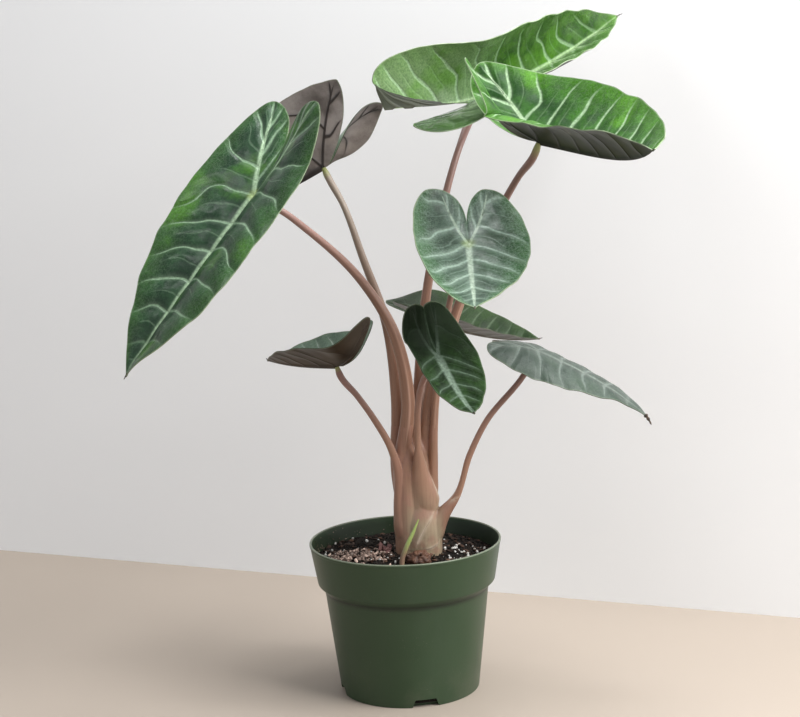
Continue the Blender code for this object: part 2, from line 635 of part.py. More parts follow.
def split_route(name):
    """A petiole's lower part, grown into the stem, and its free part: their ends face each other squarely."""
    points = full_route(name)
    above = int(np.argmax(points[:, 2] > PETIOLES[name]["free_from"]))
    joint = points[above]
    step = points[above + 1] - points[above - 1]
    step = step / np.linalg.norm(step[:3])
    straight = int(np.ceil(STRAIGHT_END / np.linalg.norm(points[above, :3] - points[above - 1, :3])))
    low = even_points(points[:above - straight], STEM_POINTS)
    low_end = (joint - step * STRAIGHT_END, joint - step * GAP)
    free_start = (joint + step * GAP, joint + step * STRAIGHT_END)
    rest = points[above + straight + 1:]
    from_seat = np.linalg.norm(rest[:, :3] - rest[-1, :3], axis=1)
    free = even_points(rest[from_seat > PETIOLE_RUN_IN - PETIOLE_SEAT], PETIOLE_POINTS)
    return np.vstack([low, *low_end]), np.vstack([*free_start, free, points[-1]])


def make_petiole(name, parts):
    """The free part of a petiole, from just above the stem to just under its blade."""
    return add_tube("petiole_" + name, split_route(name)[1], parts)


def make_stem(parts):
    """The stem: a core and the lower parts of all petioles, grown together."""
    heights, radii = zip(*STEM_CORE)
    share = np.clip((np.array(heights) - heights[1]) / (heights[-1] - heights[1]), 0.0, 1.0)
    x = STEM_FOOT[0] + (STEM_HEAD[0] - STEM_FOOT[0]) * share
    y = STEM_FOOT[1] + (STEM_HEAD[1] - STEM_FOOT[1]) * share
    tube = add_tube("stem", np.column_stack([x, y, heights, radii]), parts)
    tube.data.bevel_resolution = 2 * TUBE_RESOLUTION
    stem = as_mesh(tube, parts)
    sheaths = make_collection("sheaths")
    for name in LEAVES:
        as_mesh(add_tube("sheath_" + name, split_route(name)[0], sheaths), sheaths)
    union = stem.modifiers.new("grown_together", "BOOLEAN")
    union.operation = "UNION"
    union.operand_type = "COLLECTION"
    union.collection = sheaths
    apply_modifiers(stem)
    for item in list(sheaths.objects):
        bpy.data.objects.remove(item, do_unlink=True)
    bpy.data.collections.remove(sheaths)
    add_material(stem, STEM_FINISH)
    return stem


def make_corm(parts):
    """The corm: an oval lump, half sunk in the soil."""
    bpy.ops.mesh.primitive_uv_sphere_add(segments=CORM_SEGMENTS, ring_count=CORM_RINGS, radius=1.0)
    corm = bpy.context.object
    corm.name = "corm"
    corm.location = CORM_CENTRE
    corm.scale = CORM_SIZE
    bpy.ops.object.shade_smooth()
    move_to(corm, parts)
    add_material(corm, CORM_FINISH)
    return corm


def make_shoot(parts):
    """The young shoot: a thin pointed leaf, still rolled up."""
    shoot = add_tube("young_shoot", smooth_route(SHOOT_ROUTE, SHOOT_POINTS), parts)
    add_material(shoot, SHOOT_FINISH)
    return shoot


def main():
    """Builds the whole plant in its pot."""
    clear_scene()
    parts = make_collection(NAME)
    cutters = make_collection("cutters")
    make_pot(parts, cutters)
    make_soil(parts, cutters)
    make_corm(parts)
    make_shoot(parts)
    make_stem(parts)
    for name, leaf in LEAVES.items():
        petiole = make_petiole(name, parts)
        add_material(petiole, PETIOLE_FINISH)
        blade = make_blade("blade_" + name, leaf, parts)
        add_material(blade, SILVER_FINISH if name in SILVER_LEAVES else LEAF_FINISH)


main()
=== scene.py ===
"""The look of a pink dragon alocasia in its nursery pot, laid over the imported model.

Lengths are in metres, +Z is up, and the front of the plant faces -Y. Colours are linear.
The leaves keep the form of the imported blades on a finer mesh. The pot, the soil, the stem and the
leaf stalks are made again at their own size with their small detail.
"""

import math
import random

import bmesh
import bpy
import numpy as np
from mathutils import Euler, Matrix, Vector, noise


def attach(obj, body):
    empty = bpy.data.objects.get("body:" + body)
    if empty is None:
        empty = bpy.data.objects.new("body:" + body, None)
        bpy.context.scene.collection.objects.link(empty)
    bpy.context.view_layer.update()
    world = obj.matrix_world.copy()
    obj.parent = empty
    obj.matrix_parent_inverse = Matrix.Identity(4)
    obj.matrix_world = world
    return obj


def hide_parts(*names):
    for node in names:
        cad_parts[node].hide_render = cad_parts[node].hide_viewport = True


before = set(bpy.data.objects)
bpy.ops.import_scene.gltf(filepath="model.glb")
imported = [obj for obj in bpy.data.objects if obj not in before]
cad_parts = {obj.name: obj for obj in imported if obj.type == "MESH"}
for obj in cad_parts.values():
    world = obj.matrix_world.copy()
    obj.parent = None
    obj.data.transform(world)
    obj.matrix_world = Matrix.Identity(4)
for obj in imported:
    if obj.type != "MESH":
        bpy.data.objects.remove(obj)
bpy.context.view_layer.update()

BODY = "root"
MERGE_DISTANCE = 1e-5

# The camera stands where the plant is seen from, level with its upper leaves and turned down a little.
EYE = (0.0016, -1.505, 0.539)
CAMERA_PITCH = -9.45
CAMERA_ROLL = -2.2
LENS = 81.0
SENSOR = 36.0

# The floor meets the wall along this line behind the pot.
WALL_LEFT = (-0.466, 0.502)
WALL_RIGHT = (0.372, 0.142)
WALL_REACH = 2.2
WALL_HEIGHT = 1.15
FLOOR_SIZE = 5.0
FLOOR_COLOUR = (0.405, 0.345, 0.290)
WALL_COLOUR = (0.920, 0.932, 0.945)

# The soft light panels: where each stands, what it faces, its two sides, its power and its colour.
PANELS = {
    "key_panel": ((1.10, -0.55, 1.38), (0.14, 0.0, 0.42), (1.25, 1.25), 56.0, (1.0, 0.998, 0.995)),
    "top_panel": ((0.15, 0.12, 1.65), (0.10, 0.0, 0.30), (0.9, 0.28), 12.0, (0.98, 0.99, 1.0)),
    "fill_panel": ((-1.30, -1.20, 0.9), (0.0, 0.0, 0.25), (1.0, 1.0), 2.4, (0.95, 0.97, 1.0)),
    "left_panel": ((-0.80, -0.27, 1.42), (-0.15, -0.03, 0.44), (0.2, 0.2), 0.8, (0.98, 0.99, 1.0)),
}
WORLD_COLOUR = (0.95, 0.97, 1.0)
WORLD_STRENGTH = 0.46

# The pot.
POT_STEPS = 144
POT_HEIGHT = 0.131
RIM_RADIUS = 0.0825
RIM_BEAD = 0.0005
RIM_BEAD_DEPTH = 0.0022
BAND_FOOT_RADIUS = 0.0765
BAND_FOOT_HEIGHT = 0.096
BODY_TOP_RADIUS = 0.0708
BODY_TOP_HEIGHT = 0.0905
BASE_RADIUS = 0.060
POT_WALL = 0.0018
POT_FLOOR = 0.003
POLE_RADIUS = 0.001
POT_ROUNDING = 0.0008
ROUNDING_STEPS = 4
NOTCH_ANGLES = (-168.0, -78.0, 12.0, 102.0)
NOTCH_WIDTH = 0.028
NOTCH_TOP_WIDTH = 0.018
NOTCH_HEIGHT = 0.007
NOTCH_DEPTH = 0.012
NOTCH_ROUNDING = 0.0007
# Heights where painted shade darkens the wall under the band and clears again, and of the painted rim
# highlight.
UNDER_BAND_SHADE = (0.0860, 0.0900, 0.0915, 0.0935)
RIM_HIGHLIGHT = (0.1297, 0.1306)
# Depths behind the band's outer face where the inner wall begins, and the heights where painted shade darkens
# it.
INNER_WALL = (0.0010, 0.0015)
INNER_WALL_SHADE = (0.1308, 0.1240)

# The soil and what lies on it.
SOIL_LEVEL = 0.116
SOIL_CLEARANCE = 0.0005
SOIL_RINGS = 64
SOIL_STEPS = 160
MOUND_HEIGHT = 0.004
MOUND_RADIUS = 0.030
HEAP_CENTRE = (-0.038, -0.012)
HEAP_HEIGHT = 0.006
HEAP_RADIUS = 0.024
EDGE_FADE = 0.15
CLOD_HEIGHT = 0.0012
CLODS_ALONG_X = (0.030, 0.6)
CLODS_ALONG_Y = (0.035, 1.1)
CRUMB_RELIEF = 0.0011
CRUMB_PITCH = 0.0055
CRUMBS_WITHIN = 0.985
GRAIN_SEED = 7
# How far loose grains stay from the middle of the corm, along x and y, and from the young shoot.
CORM_KEEP_OUT = (0.0125, 0.0090)
SHOOT_KEEP_OUT = 0.0035
# Specks on the inner wall: their middle angle and its spread, their spread upwards, their lowest height
# over the soil, and how far they stand in from the wall.
SPECK_ANGLE = (-100.0, 32.0)
SPECK_SPREAD = 0.0045
SPECK_FOOT = 0.0008
SPECK_INSET = 0.0004

# The stem.
STEM_FOOT = (0.014, 0.001)
STEM_HEAD = (0.013, 0.004)
STEM_CORE = ((0.088, 0.0178), (0.124, 0.0178), (0.150, 0.0160), (0.185, 0.0140), (0.212, 0.0100))
CORE_TIP = ((0.222, 0.0060), (0.232, 0.0020))
STEM_VOXEL = 0.0006
STEM_SIDES = 40
STEM_POINTS = 40
FOOT_SIDES = 28
FOOT_TAPER = 0.005
STEM_KEEP_OUT = 0.0190
# Broad sheaths that wrap the stem: the front one, the lower one, and the one at the left.
WRAPS = (
    ((0.0168, -0.0035, 0.1500, 0.0090), (0.0175, -0.0052, 0.1580, 0.0116), (0.0180, -0.0068, 0.1665, 0.0122),
     (0.0162, -0.0098, 0.1800, 0.0099), (0.0148, -0.0132, 0.1950, 0.0064), (0.0140, -0.0162, 0.2110, 0.0034),
     (0.0140, -0.0172, 0.2200, 0.0010)),
    ((0.0140, -0.0020, 0.1080, 0.0172), (0.0142, -0.0032, 0.1300, 0.0178), (0.0150, -0.0045, 0.1480, 0.0165),
     (0.0158, -0.0045, 0.1620, 0.0135)),
    ((0.0052, -0.0040, 0.1100, 0.0135), (0.0042, -0.0060, 0.1420, 0.0122), (0.0042, -0.0068, 0.1700, 0.0104),
     (0.0050, -0.0060, 0.2050, 0.0066), (0.0054, -0.0056, 0.2250, 0.0010)),
)
# The edges of old sheaths on the stem: angle round it from the front, to the right, and height. The sheath
# that lies on top is at the right of its edge, seen along it.
SHEATH_EDGES = (
    ((74, 0.172), (58, 0.168), (42, 0.161), (26, 0.154), (10, 0.146), (-4, 0.136), (-14, 0.127)),
    ((56, 0.1330), (38, 0.1290), (18, 0.1268), (-2, 0.1262)),
    ((30, 0.205), (40, 0.190), (47, 0.176), (50, 0.166)),
)
SHEATH_STEP = 0.0009
SHEATH_FADE = 0.0060
SHEATH_TURN_RADIUS = 0.0165
PAPER_WIDTH = 0.0013
CORM_CENTRE = (0.011, -0.029, 0.120)
CORM_SIZE = (0.0120, 0.0085, 0.0085)
SHOOT_ROUTE = (
    (-0.003, -0.034, 0.106, 0.0026),
    (-0.003, -0.034, 0.122, 0.0026),
    (0.001, -0.034, 0.133, 0.0023),
    (0.007, -0.033, 0.145, 0.0017),
    (0.012, -0.032, 0.156, 0.0006),
)
SHOOT_SHARE = 0.86
SHOOT_POINTS = 50
SHOOT_SIDES = 28

# A blade is a grid: its columns run along the lateral veins and between them, its rows along the blade.
BLADE_THICKNESS = 0.0007
RIB_THICKNESS = 0.0026
LARGE_GRID = dict(midrib=16, lobe=5, rows=28)
SMALL_GRID = dict(midrib=12, lobe=4, rows=24)
FINE_COLUMNS = 8
LOBE_BEND_START = 0.12
RIB_SHARE = 0.90
VEIN_SLANT = 0.20
VEIN_ARCH = 0.16
LOBE_RIB_BOW = 0.25
LOBE_RIB_SIZE = 0.35
SHOULDER_SHARE = 0.4
LOBE_ROUNDING = 0.8
LOBE_BEND_REACH = 1.4
BEND_STEPS = 60
BEND_END = 1.1
BULGE_POWER = 0.7
TIP_FADE = 0.25
NOTCH_FADE = 0.2
WAVE_SHIFT = 2.0
GROOVE_DEPTH = 0.00035
GROOVE_WIDTH = 0.0013
FULL_RELIEF = 0.0010
RIB_SPREAD = 0.0016
LATERAL_SPREAD = 0.0010
LATERAL_SHARE = 0.22
CHANNEL_DEPTH = 0.0002
CHANNEL_WIDTH = 0.0020
PUCKER_PITCH = 0.009
PUCKER_HEIGHT = 0.0005
WAVE_SHARE = 0.65
RIPPLE_SHARE = 0.05
UNEVEN_PITCH = 0.013

# The lateral veins are numbered from the tip. They wander a little, counted in veins.
LEAN_FADE = 2.5
VEIN_WANDER = 0.20
WANDER_PITCH = 0.022
NARROWEST_GAP = 0.004
WIDEST_GAP = 0.045
SLOPE_STEP = 0.0001

# Where a leaf stalk ends under its blade, and how it leaves the stem.
PETIOLE_SEAT = 0.0010
PETIOLE_RUN_IN = 0.009
PETIOLE_OVERLAP = 0.022
PETIOLE_SIDES = 24
PETIOLE_POINTS = 90
ROUTE_STEPS = 200
STALK_SWELL = 0.10
STALK_SWELL_TOP = 0.340
STALK_SWELL_FADE = 0.080
# The swelling under the blade: its share, how far it lies before the end, and its length.
KNOB_SWELL = 0.16
KNOB_BACK = 0.006
KNOB_LENGTH = 0.004
# The ridges beside a stalk's groove lie at this angle from its middle, in radians.
RIDGE_ANGLE = 0.55
RIDGE_WIDTH = 0.13
RIDGE_RISE = 0.13
STALK_GROOVE_WIDTH = 0.42
STALK_GROOVE_DEPTH = 0.12

# Angles are in degrees. Pairs are the left and the right half, seen from the leaf stalk.
LEAVES = {
    "large_left": dict(
        grid=LARGE_GRID, at=(-0.1118, -0.040, 0.4341), heading=214, pitch=-46, roll=2,
        tip=0.180, lobe=0.085, half=0.0625, lobe_middle=(0.62, 0.62), notch_power=1.0, sinus=0.12, joined=0,
        fullness=(5.0, 2.4),
        fold=(28, 26), curl=(-48, -2), lobe_fold=(2, -1), lobe_bend=(-17, 1),
        droop=8, droop_power=1.6, sway=-8, wave=0.0010, waves=6,
        rib_reach=(0.95, 0.95), uneven=0.0008, vein_relief=0.0012,
    ),
    "upper_left": dict(
        grid=LARGE_GRID, at=(-0.0579, 0.044, 0.4498), heading=148.5, pitch=-26, roll=10,
        tip=0.131, lobe=0.059, half=0.0655, lobe_middle=(0.90, 0.90), notch_power=0.58, sinus=0.12, joined=0,
        fullness=(2.1, 2.1),
        fold=(83, 61), curl=(-4, -122), lobe_fold=(-4, 7), lobe_bend=(3, -18),
        droop=-11, droop_power=1.6, sway=-1, wave=0.0012, waves=6,
        rib_reach=(0.95, 0.95), uneven=0.0010, vein_relief=0.0005,
    ),
    "top": dict(
        grid=LARGE_GRID, at=(0.0797, 0.072, 0.5027), heading=38.5, pitch=16, roll=-17,
        tip=0.1795, lobe=0.119, half=0.071, lobe_middle=(0.61, 0.61), notch_power=0.5, sinus=0.12, joined=0,
        fullness=(2.1, 2.2),
        fold=(87, 21), curl=(48, 19), lobe_fold=(-25, -31), lobe_bend=(-9, -23),
        droop=-15, droop_power=1.3, sway=0, wave=0.0014, waves=7,
        rib_reach=(0.35, 0.95), uneven=0.0008, vein_relief=0.0010,
    ),
    "top_right": dict(
        grid=LARGE_GRID, at=(0.1182, -0.072, 0.4701), heading=-42, pitch=-10, roll=-25,
        tip=0.1565, lobe=0.0995, half=0.066, lobe_middle=(0.72, 0.72), notch_power=1.0, sinus=0.12, joined=0,
        fullness=(2.4, 2.4),
        fold=(16, 73), curl=(12, -56), lobe_fold=(-6, 8), lobe_bend=(-16, -56),
        droop=-40, droop_power=1.5, sway=-32, wave=0.0016, waves=5,
        rib_reach=(0.95, 0.95), uneven=0.0008, vein_relief=0.0010,
    ),
    "centre": dict(
        grid=SMALL_GRID, at=(0.0595, -0.080, 0.392), heading=-90, pitch=-32, roll=-4,
        tip=0.099, lobe=0.057, half=0.049, lobe_middle=(0.40, 0.40), notch_power=1.0, sinus=0.42, joined=0.3,
        fullness=(2.2, 2.3),
        fold=(8, 9), curl=(-18, 41), lobe_fold=(-18, -2), lobe_bend=(-23, -17),
        droop=-23, droop_power=1.6, sway=1, wave=0.0006, waves=5,
        rib_reach=(0.95, 0.95), uneven=0.0010, vein_relief=0.0005,
    ),
    "front": dict(
        grid=SMALL_GRID, at=(0.032, -0.065, 0.301), heading=-65, pitch=-37, roll=-8,
        tip=0.084, lobe=0.048, half=0.033, lobe_middle=(0.38, 0.38), notch_power=1.0, sinus=0.88, joined=0.5,
        fullness=(2.1, 2.3),
        fold=(5, -2), curl=(-12, 70), lobe_fold=(-12, -12), lobe_bend=(-30, -65),
        droop=-32, droop_power=1.6, sway=-6, wave=0.0008, waves=5,
        rib_reach=(0.95, 0.95), uneven=0.0008, vein_relief=0.0006,
    ),
    "back": dict(
        grid=SMALL_GRID, at=(0.0332, 0.062, 0.3102), heading=6, pitch=-22, roll=-28,
        tip=0.095, lobe=0.045, half=0.038, lobe_middle=(0.56, 0.56), notch_power=1.0, sinus=0.12, joined=0,
        fullness=(2.5, 2.1),
        fold=(19, 47), curl=(-13, -3), lobe_fold=(-28, -8), lobe_bend=(11, -6),
        droop=-30, droop_power=1.6, sway=0, wave=0.0008, waves=5,
        rib_reach=(0.95, 0.95), uneven=0.0012, vein_relief=0.0003,
    ),
    "right": dict(
        grid=SMALL_GRID, at=(0.118, -0.015, 0.293), heading=-11, pitch=-25, roll=8,
        tip=0.106, lobe=0.042, half=0.042, lobe_middle=(0.58, 0.58), notch_power=1.0, sinus=0.12, joined=0,
        fullness=(2.3, 2.0),
        fold=(14, -2), curl=(-28, -58), lobe_fold=(-8, 4), lobe_bend=(20, 14),
        droop=18, droop_power=1.6, sway=-5, wave=0.0008, waves=5,
        rib_reach=(0.95, 0.95), uneven=0.0020, vein_relief=0.0006,
    ),
    "lower_left": dict(
        grid=SMALL_GRID, at=(-0.052, -0.015, 0.287), heading=148, pitch=-4, roll=-31,
        tip=0.077, lobe=0.056, half=0.036, lobe_middle=(0.66, 0.66), notch_power=0.45, sinus=0.12, joined=0,
        fullness=(2.3, 2.4),
        fold=(6, 72), curl=(-6, 8), lobe_fold=(-2, -4), lobe_bend=(-58, -60),
        droop=-15, droop_power=1.6, sway=-6, wave=0.0008, waves=4,
        rib_reach=(0.95, 0.95), uneven=0.0010, vein_relief=0.0002,
    ),
}

# Leaf stalks: x, y, z, radius. groove is the angle round the stalk at which its groove faces out.
PETIOLES = {
    "large_left": dict(free_from=0.236, groove=48, route=(
        (0.004, -0.002, 0.105, 0.0070), (0.003, -0.003, 0.128, 0.0070), (-0.001, -0.005, 0.193, 0.0062),
        (0.007, -0.006, 0.254, 0.0052), (-0.006, -0.009, 0.320, 0.0046), (-0.027, -0.012, 0.356, 0.0038),
        (-0.073, -0.026, 0.405, 0.0029), (-0.090, -0.033, 0.4195, 0.0027))),
    "upper_left": dict(free_from=0.236, groove=150, route=(
        (0.006, 0.005, 0.105, 0.0068), (0.005, 0.006, 0.128, 0.0068), (-0.004, 0.007, 0.191, 0.0055),
        (-0.003, 0.006, 0.252, 0.0042), (-0.009, 0.007, 0.318, 0.0040), (-0.027, 0.014, 0.375, 0.0032),
        (-0.042, 0.028, 0.419, 0.0027))),
    "top": dict(free_from=0.236, groove=200, route=(
        (0.012, 0.010, 0.105, 0.0070), (0.012, 0.013, 0.188, 0.0055), (0.017, 0.013, 0.263, 0.0044),
        (0.026, 0.013, 0.340, 0.0040), (0.036, 0.018, 0.387, 0.0036), (0.058, 0.044, 0.459, 0.0029))),
    "top_right": dict(free_from=0.236, groove=60, route=(
        (0.020, 0.002, 0.105, 0.0070), (0.021, 0.002, 0.190, 0.0060), (0.025, 0.002, 0.251, 0.0048),
        (0.049, 0.002, 0.322, 0.0042), (0.074, -0.010, 0.383, 0.0036), (0.103, -0.044, 0.441, 0.0028))),
    "centre": dict(free_from=0.236, groove=40, route=(
        (0.021, 0.002, 0.105, 0.0060), (0.026, -0.003, 0.188, 0.0040), (0.030, -0.007, 0.250, 0.0028),
        (0.036, -0.012, 0.290, 0.0026), (0.042, -0.020, 0.325, 0.0026), (0.050, -0.042, 0.362, 0.0025))),
    "front": dict(free_from=0.214, groove=180, route=(
        (0.014, -0.006, 0.105, 0.0100), (0.014, -0.006, 0.165, 0.0110), (0.014, -0.013, 0.190, 0.0058),
        (0.014, -0.016, 0.205, 0.0032), (0.014, -0.018, 0.226, 0.0026), (0.015, -0.026, 0.251, 0.0025),
        (0.020, -0.041, 0.276, 0.0024))),
    "back": dict(free_from=0.236, groove=0, route=(
        (0.016, 0.008, 0.105, 0.0060), (0.019, 0.018, 0.195, 0.0040), (0.021, 0.030, 0.245, 0.0026),
        (0.028, 0.050, 0.288, 0.0024))),
    "right": dict(free_from=0.176, groove=-90, route=(
        (0.017, -0.003, 0.105, 0.0095), (0.018, -0.003, 0.124, 0.0100), (0.023, -0.005, 0.138, 0.0100),
        (0.034, -0.009, 0.155, 0.0056), (0.044, -0.012, 0.168, 0.0032), (0.058, -0.014, 0.207, 0.0025),
        (0.072, -0.015, 0.234, 0.0024), (0.103, -0.015, 0.270, 0.0023))),
    "lower_left": dict(free_from=0.212, groove=90, route=(
        (0.006, -0.004, 0.105, 0.0078), (0.005, -0.005, 0.126, 0.0078), (-0.001, -0.009, 0.140, 0.0070),
        (-0.003, -0.010, 0.158, 0.0054), (-0.004, -0.012, 0.196, 0.0036), (-0.009, -0.013, 0.214, 0.0029),
        (-0.020, -0.014, 0.236, 0.0026), (-0.036, -0.0145, 0.261, 0.0024))),
}

# How the lateral veins run: their count along the midrib, and how far the veins of the left and of the
# right half lean and then arch towards the tip on their way out, counted in veins. back is how far the
# veins of the lobes lean away from the tip.
VEIN_COURSES = {
    "large_left": dict(count=6, lobe=3.2, lean=(-1.0, -0.8), arch=(0.5, 1.0), back=(0.7, 1.0)),
    "upper_left": dict(count=5, lobe=2.4, lean=(0.4, 0.4), arch=(0.5, 0.5), back=(0.3, 0.3)),
    "top": dict(count=6, lobe=4.4, lean=(-1.8, -0.2), arch=(0.1, 0.3), back=(1.3, 0.4)),
    "top_right": dict(count=7, lobe=3.4, lean=(-1.4, -0.4), arch=(0.0, 0.3), back=(0.4, 0.4)),
    "centre": dict(count=5, lobe=2.4, lean=(0.8, 1.6), arch=(0.0, -0.5), back=(0.3, 0.3)),
    "front": dict(count=5, lobe=1.6, lean=(0.3, 0.3), arch=(0.5, 0.5), back=(0.0, 0.0)),
    "back": dict(count=6, lobe=2.4, lean=(-0.2, 0.2), arch=(0.3, 0.3), back=(0.3, 0.3)),
    "right": dict(count=5, lobe=2.4, lean=(-0.5, -0.5), arch=(0.2, 0.3), back=(0.3, 0.3)),
    "lower_left": dict(count=5, lobe=2.4, lean=(0.3, 0.3), arch=(0.5, 0.5), back=(0.2, 0.2)),
}

# A lobe without painted light or shade, as a share and a colour, and a leaf that has none on either lobe.
NO_PAINTED_LIGHT_OR_SHADE = (0.0, (0.0, 0.0, 0.0))
LOBES_UNPAINTED = dict(lobes=(NO_PAINTED_LIGHT_OR_SHADE, NO_PAINTED_LIGHT_OR_SHADE), painted_cover_shade=(NO_PAINTED_LIGHT_OR_SHADE, NO_PAINTED_LIGHT_OR_SHADE))

# What each leaf's upper face looks like: its deep and light green, its patches of new green, its veins and
# ribs, and how wide they and their pale halo are. rim_green greens the margin, and rim is the share of the
# pale line along it. The lobe entries lay painted light or painted shade on the left and the right lobe below
# the veins, and the cover entries lay painted shade over them above the veins, each as a share and a colour.
# seat is the share of the yellow-green spot where the stalk meets the blade.
UPPER_LOOKS = {
    "large_left": dict(
        LOBES_UNPAINTED, deep=(0.006, 0.027, 0.010), light=(0.014, 0.054, 0.018), patch=(0.056, 0.180, 0.006),
        vein=(0.240, 0.365, 0.230), rib=(0.370, 0.520, 0.330), patches=0.72, halo=0.26, network=0.14,
        vein_width=0.0021, rib_width=0.0054, halo_width=0.0065, minor=0.22,
        rim_green=0.25, rim=0.35, seat=0.45, roughness=0.32, gloss=0.28, coat=0.18),
    "upper_left": dict(
        LOBES_UNPAINTED, deep=(0.030, 0.090, 0.040), light=(0.060, 0.150, 0.060), patch=(0.150, 0.260, 0.080),
        vein=(0.200, 0.280, 0.180), rib=(0.300, 0.380, 0.180), patches=0.3, halo=0.30, network=0.15,
        vein_width=0.0015, rib_width=0.0030, halo_width=0.0050, minor=0.2,
        rim_green=0.2, rim=0.40, seat=0.3, roughness=0.32, gloss=0.50, coat=0.2),
    "top": dict(
        LOBES_UNPAINTED, deep=(0.022, 0.082, 0.008), light=(0.072, 0.180, 0.024), patch=(0.090, 0.270, 0.006),
        vein=(0.330, 0.500, 0.280), rib=(0.400, 0.560, 0.300), patches=0.6, halo=0.18, network=0.08,
        vein_width=0.0026, rib_width=0.0044, halo_width=0.0045, minor=0.15,
        rim_green=0.2, rim=0.50, seat=0.2, roughness=0.22, gloss=0.60, coat=0.6,
        # Painted light, a pale satin sheen, on the left lobe, and painted shade on the right lobe below and
        # above its veins.
        lobes=((0.85, (0.205, 0.340, 0.145)), (0.50, (0.022, 0.050, 0.018))),
        painted_cover_shade=(NO_PAINTED_LIGHT_OR_SHADE, (0.80, (0.014, 0.030, 0.013)))),
    "top_right": dict(
        LOBES_UNPAINTED, deep=(0.009, 0.050, 0.004), light=(0.032, 0.126, 0.009), patch=(0.090, 0.290, 0.005),
        vein=(0.350, 0.500, 0.300), rib=(0.360, 0.490, 0.300), patches=0.65, halo=0.18, network=0.10,
        vein_width=0.0025, rib_width=0.0044, halo_width=0.0050, minor=0.15,
        rim_green=0.35, rim=0.60, seat=0.2, roughness=0.45, gloss=0.18, coat=0.0,
        # Painted shade on the left lobe.
        lobes=((0.30, (0.016, 0.060, 0.016)), NO_PAINTED_LIGHT_OR_SHADE)),
    "centre": dict(
        LOBES_UNPAINTED, deep=(0.015, 0.039, 0.020), light=(0.037, 0.076, 0.046), patch=(0.032, 0.115, 0.026),
        vein=(0.320, 0.430, 0.345), rib=(0.420, 0.530, 0.410), patches=0.25, halo=0.45, network=0.35,
        vein_width=0.0022, rib_width=0.0038, halo_width=0.0110, minor=0.25,
        rim_green=0.80, rim=0.60, seat=0.35, roughness=0.40, gloss=0.35, coat=0.1),
    "front": dict(
        LOBES_UNPAINTED, deep=(0.0050, 0.0135, 0.0030), light=(0.019, 0.048, 0.0115), patch=(0.030, 0.080, 0.013),
        vein=(0.125, 0.185, 0.125), rib=(0.230, 0.310, 0.235), patches=0.75, halo=0.28, network=0.12,
        vein_width=0.0016, rib_width=0.0048, halo_width=0.0095, minor=0.15,
        rim_green=0.3, rim=0.25, seat=0.0, roughness=0.60, gloss=0.08, coat=0,
        # Painted shade over both lobes.
        painted_cover_shade=((0.92, (0.0045, 0.0110, 0.0030)), (0.92, (0.0045, 0.0110, 0.0030)))),
    "back": dict(
        LOBES_UNPAINTED, deep=(0.009, 0.024, 0.006), light=(0.020, 0.046, 0.012), patch=(0.040, 0.085, 0.020),
        vein=(0.090, 0.130, 0.075), rib=(0.150, 0.200, 0.120), patches=0.4, halo=0.25, network=0.12,
        vein_width=0.0017, rib_width=0.0040, halo_width=0.0050, minor=0.15,
        rim_green=0.3, rim=0.20, seat=0.1, roughness=0.42, gloss=0.15, coat=0.05,
        # Painted shade over both lobes.
        painted_cover_shade=((0.75, (0.012, 0.020, 0.008)), (0.75, (0.012, 0.020, 0.008)))),
    "right": dict(
        LOBES_UNPAINTED, deep=(0.034, 0.053, 0.040), light=(0.060, 0.084, 0.067), patch=(0.050, 0.090, 0.050),
        vein=(0.150, 0.185, 0.160), rib=(0.165, 0.200, 0.170), patches=0.3, halo=0.40, network=0.10,
        vein_width=0.0024, rib_width=0.0040, halo_width=0.0070, minor=0.15,
        rim_green=0.2, rim=0.20, seat=0.0, roughness=0.42, gloss=0.30, coat=0.05,
        # Painted shade over both lobes.
        painted_cover_shade=((0.30, (0.020, 0.034, 0.022)), (0.30, (0.020, 0.034, 0.022)))),
    "lower_left": dict(
        LOBES_UNPAINTED, deep=(0.110, 0.175, 0.125), light=(0.190, 0.275, 0.205), patch=(0.150, 0.240, 0.130),
        vein=(0.420, 0.500, 0.420), rib=(0.330, 0.400, 0.320), patches=0.3, halo=0.35, network=0.10,
        vein_width=0.0016, rib_width=0.0034, halo_width=0.0050, minor=0.15,
        rim_green=0.2, rim=0.30, seat=0.0, roughness=0.38, gloss=0.40, coat=0.1),
}

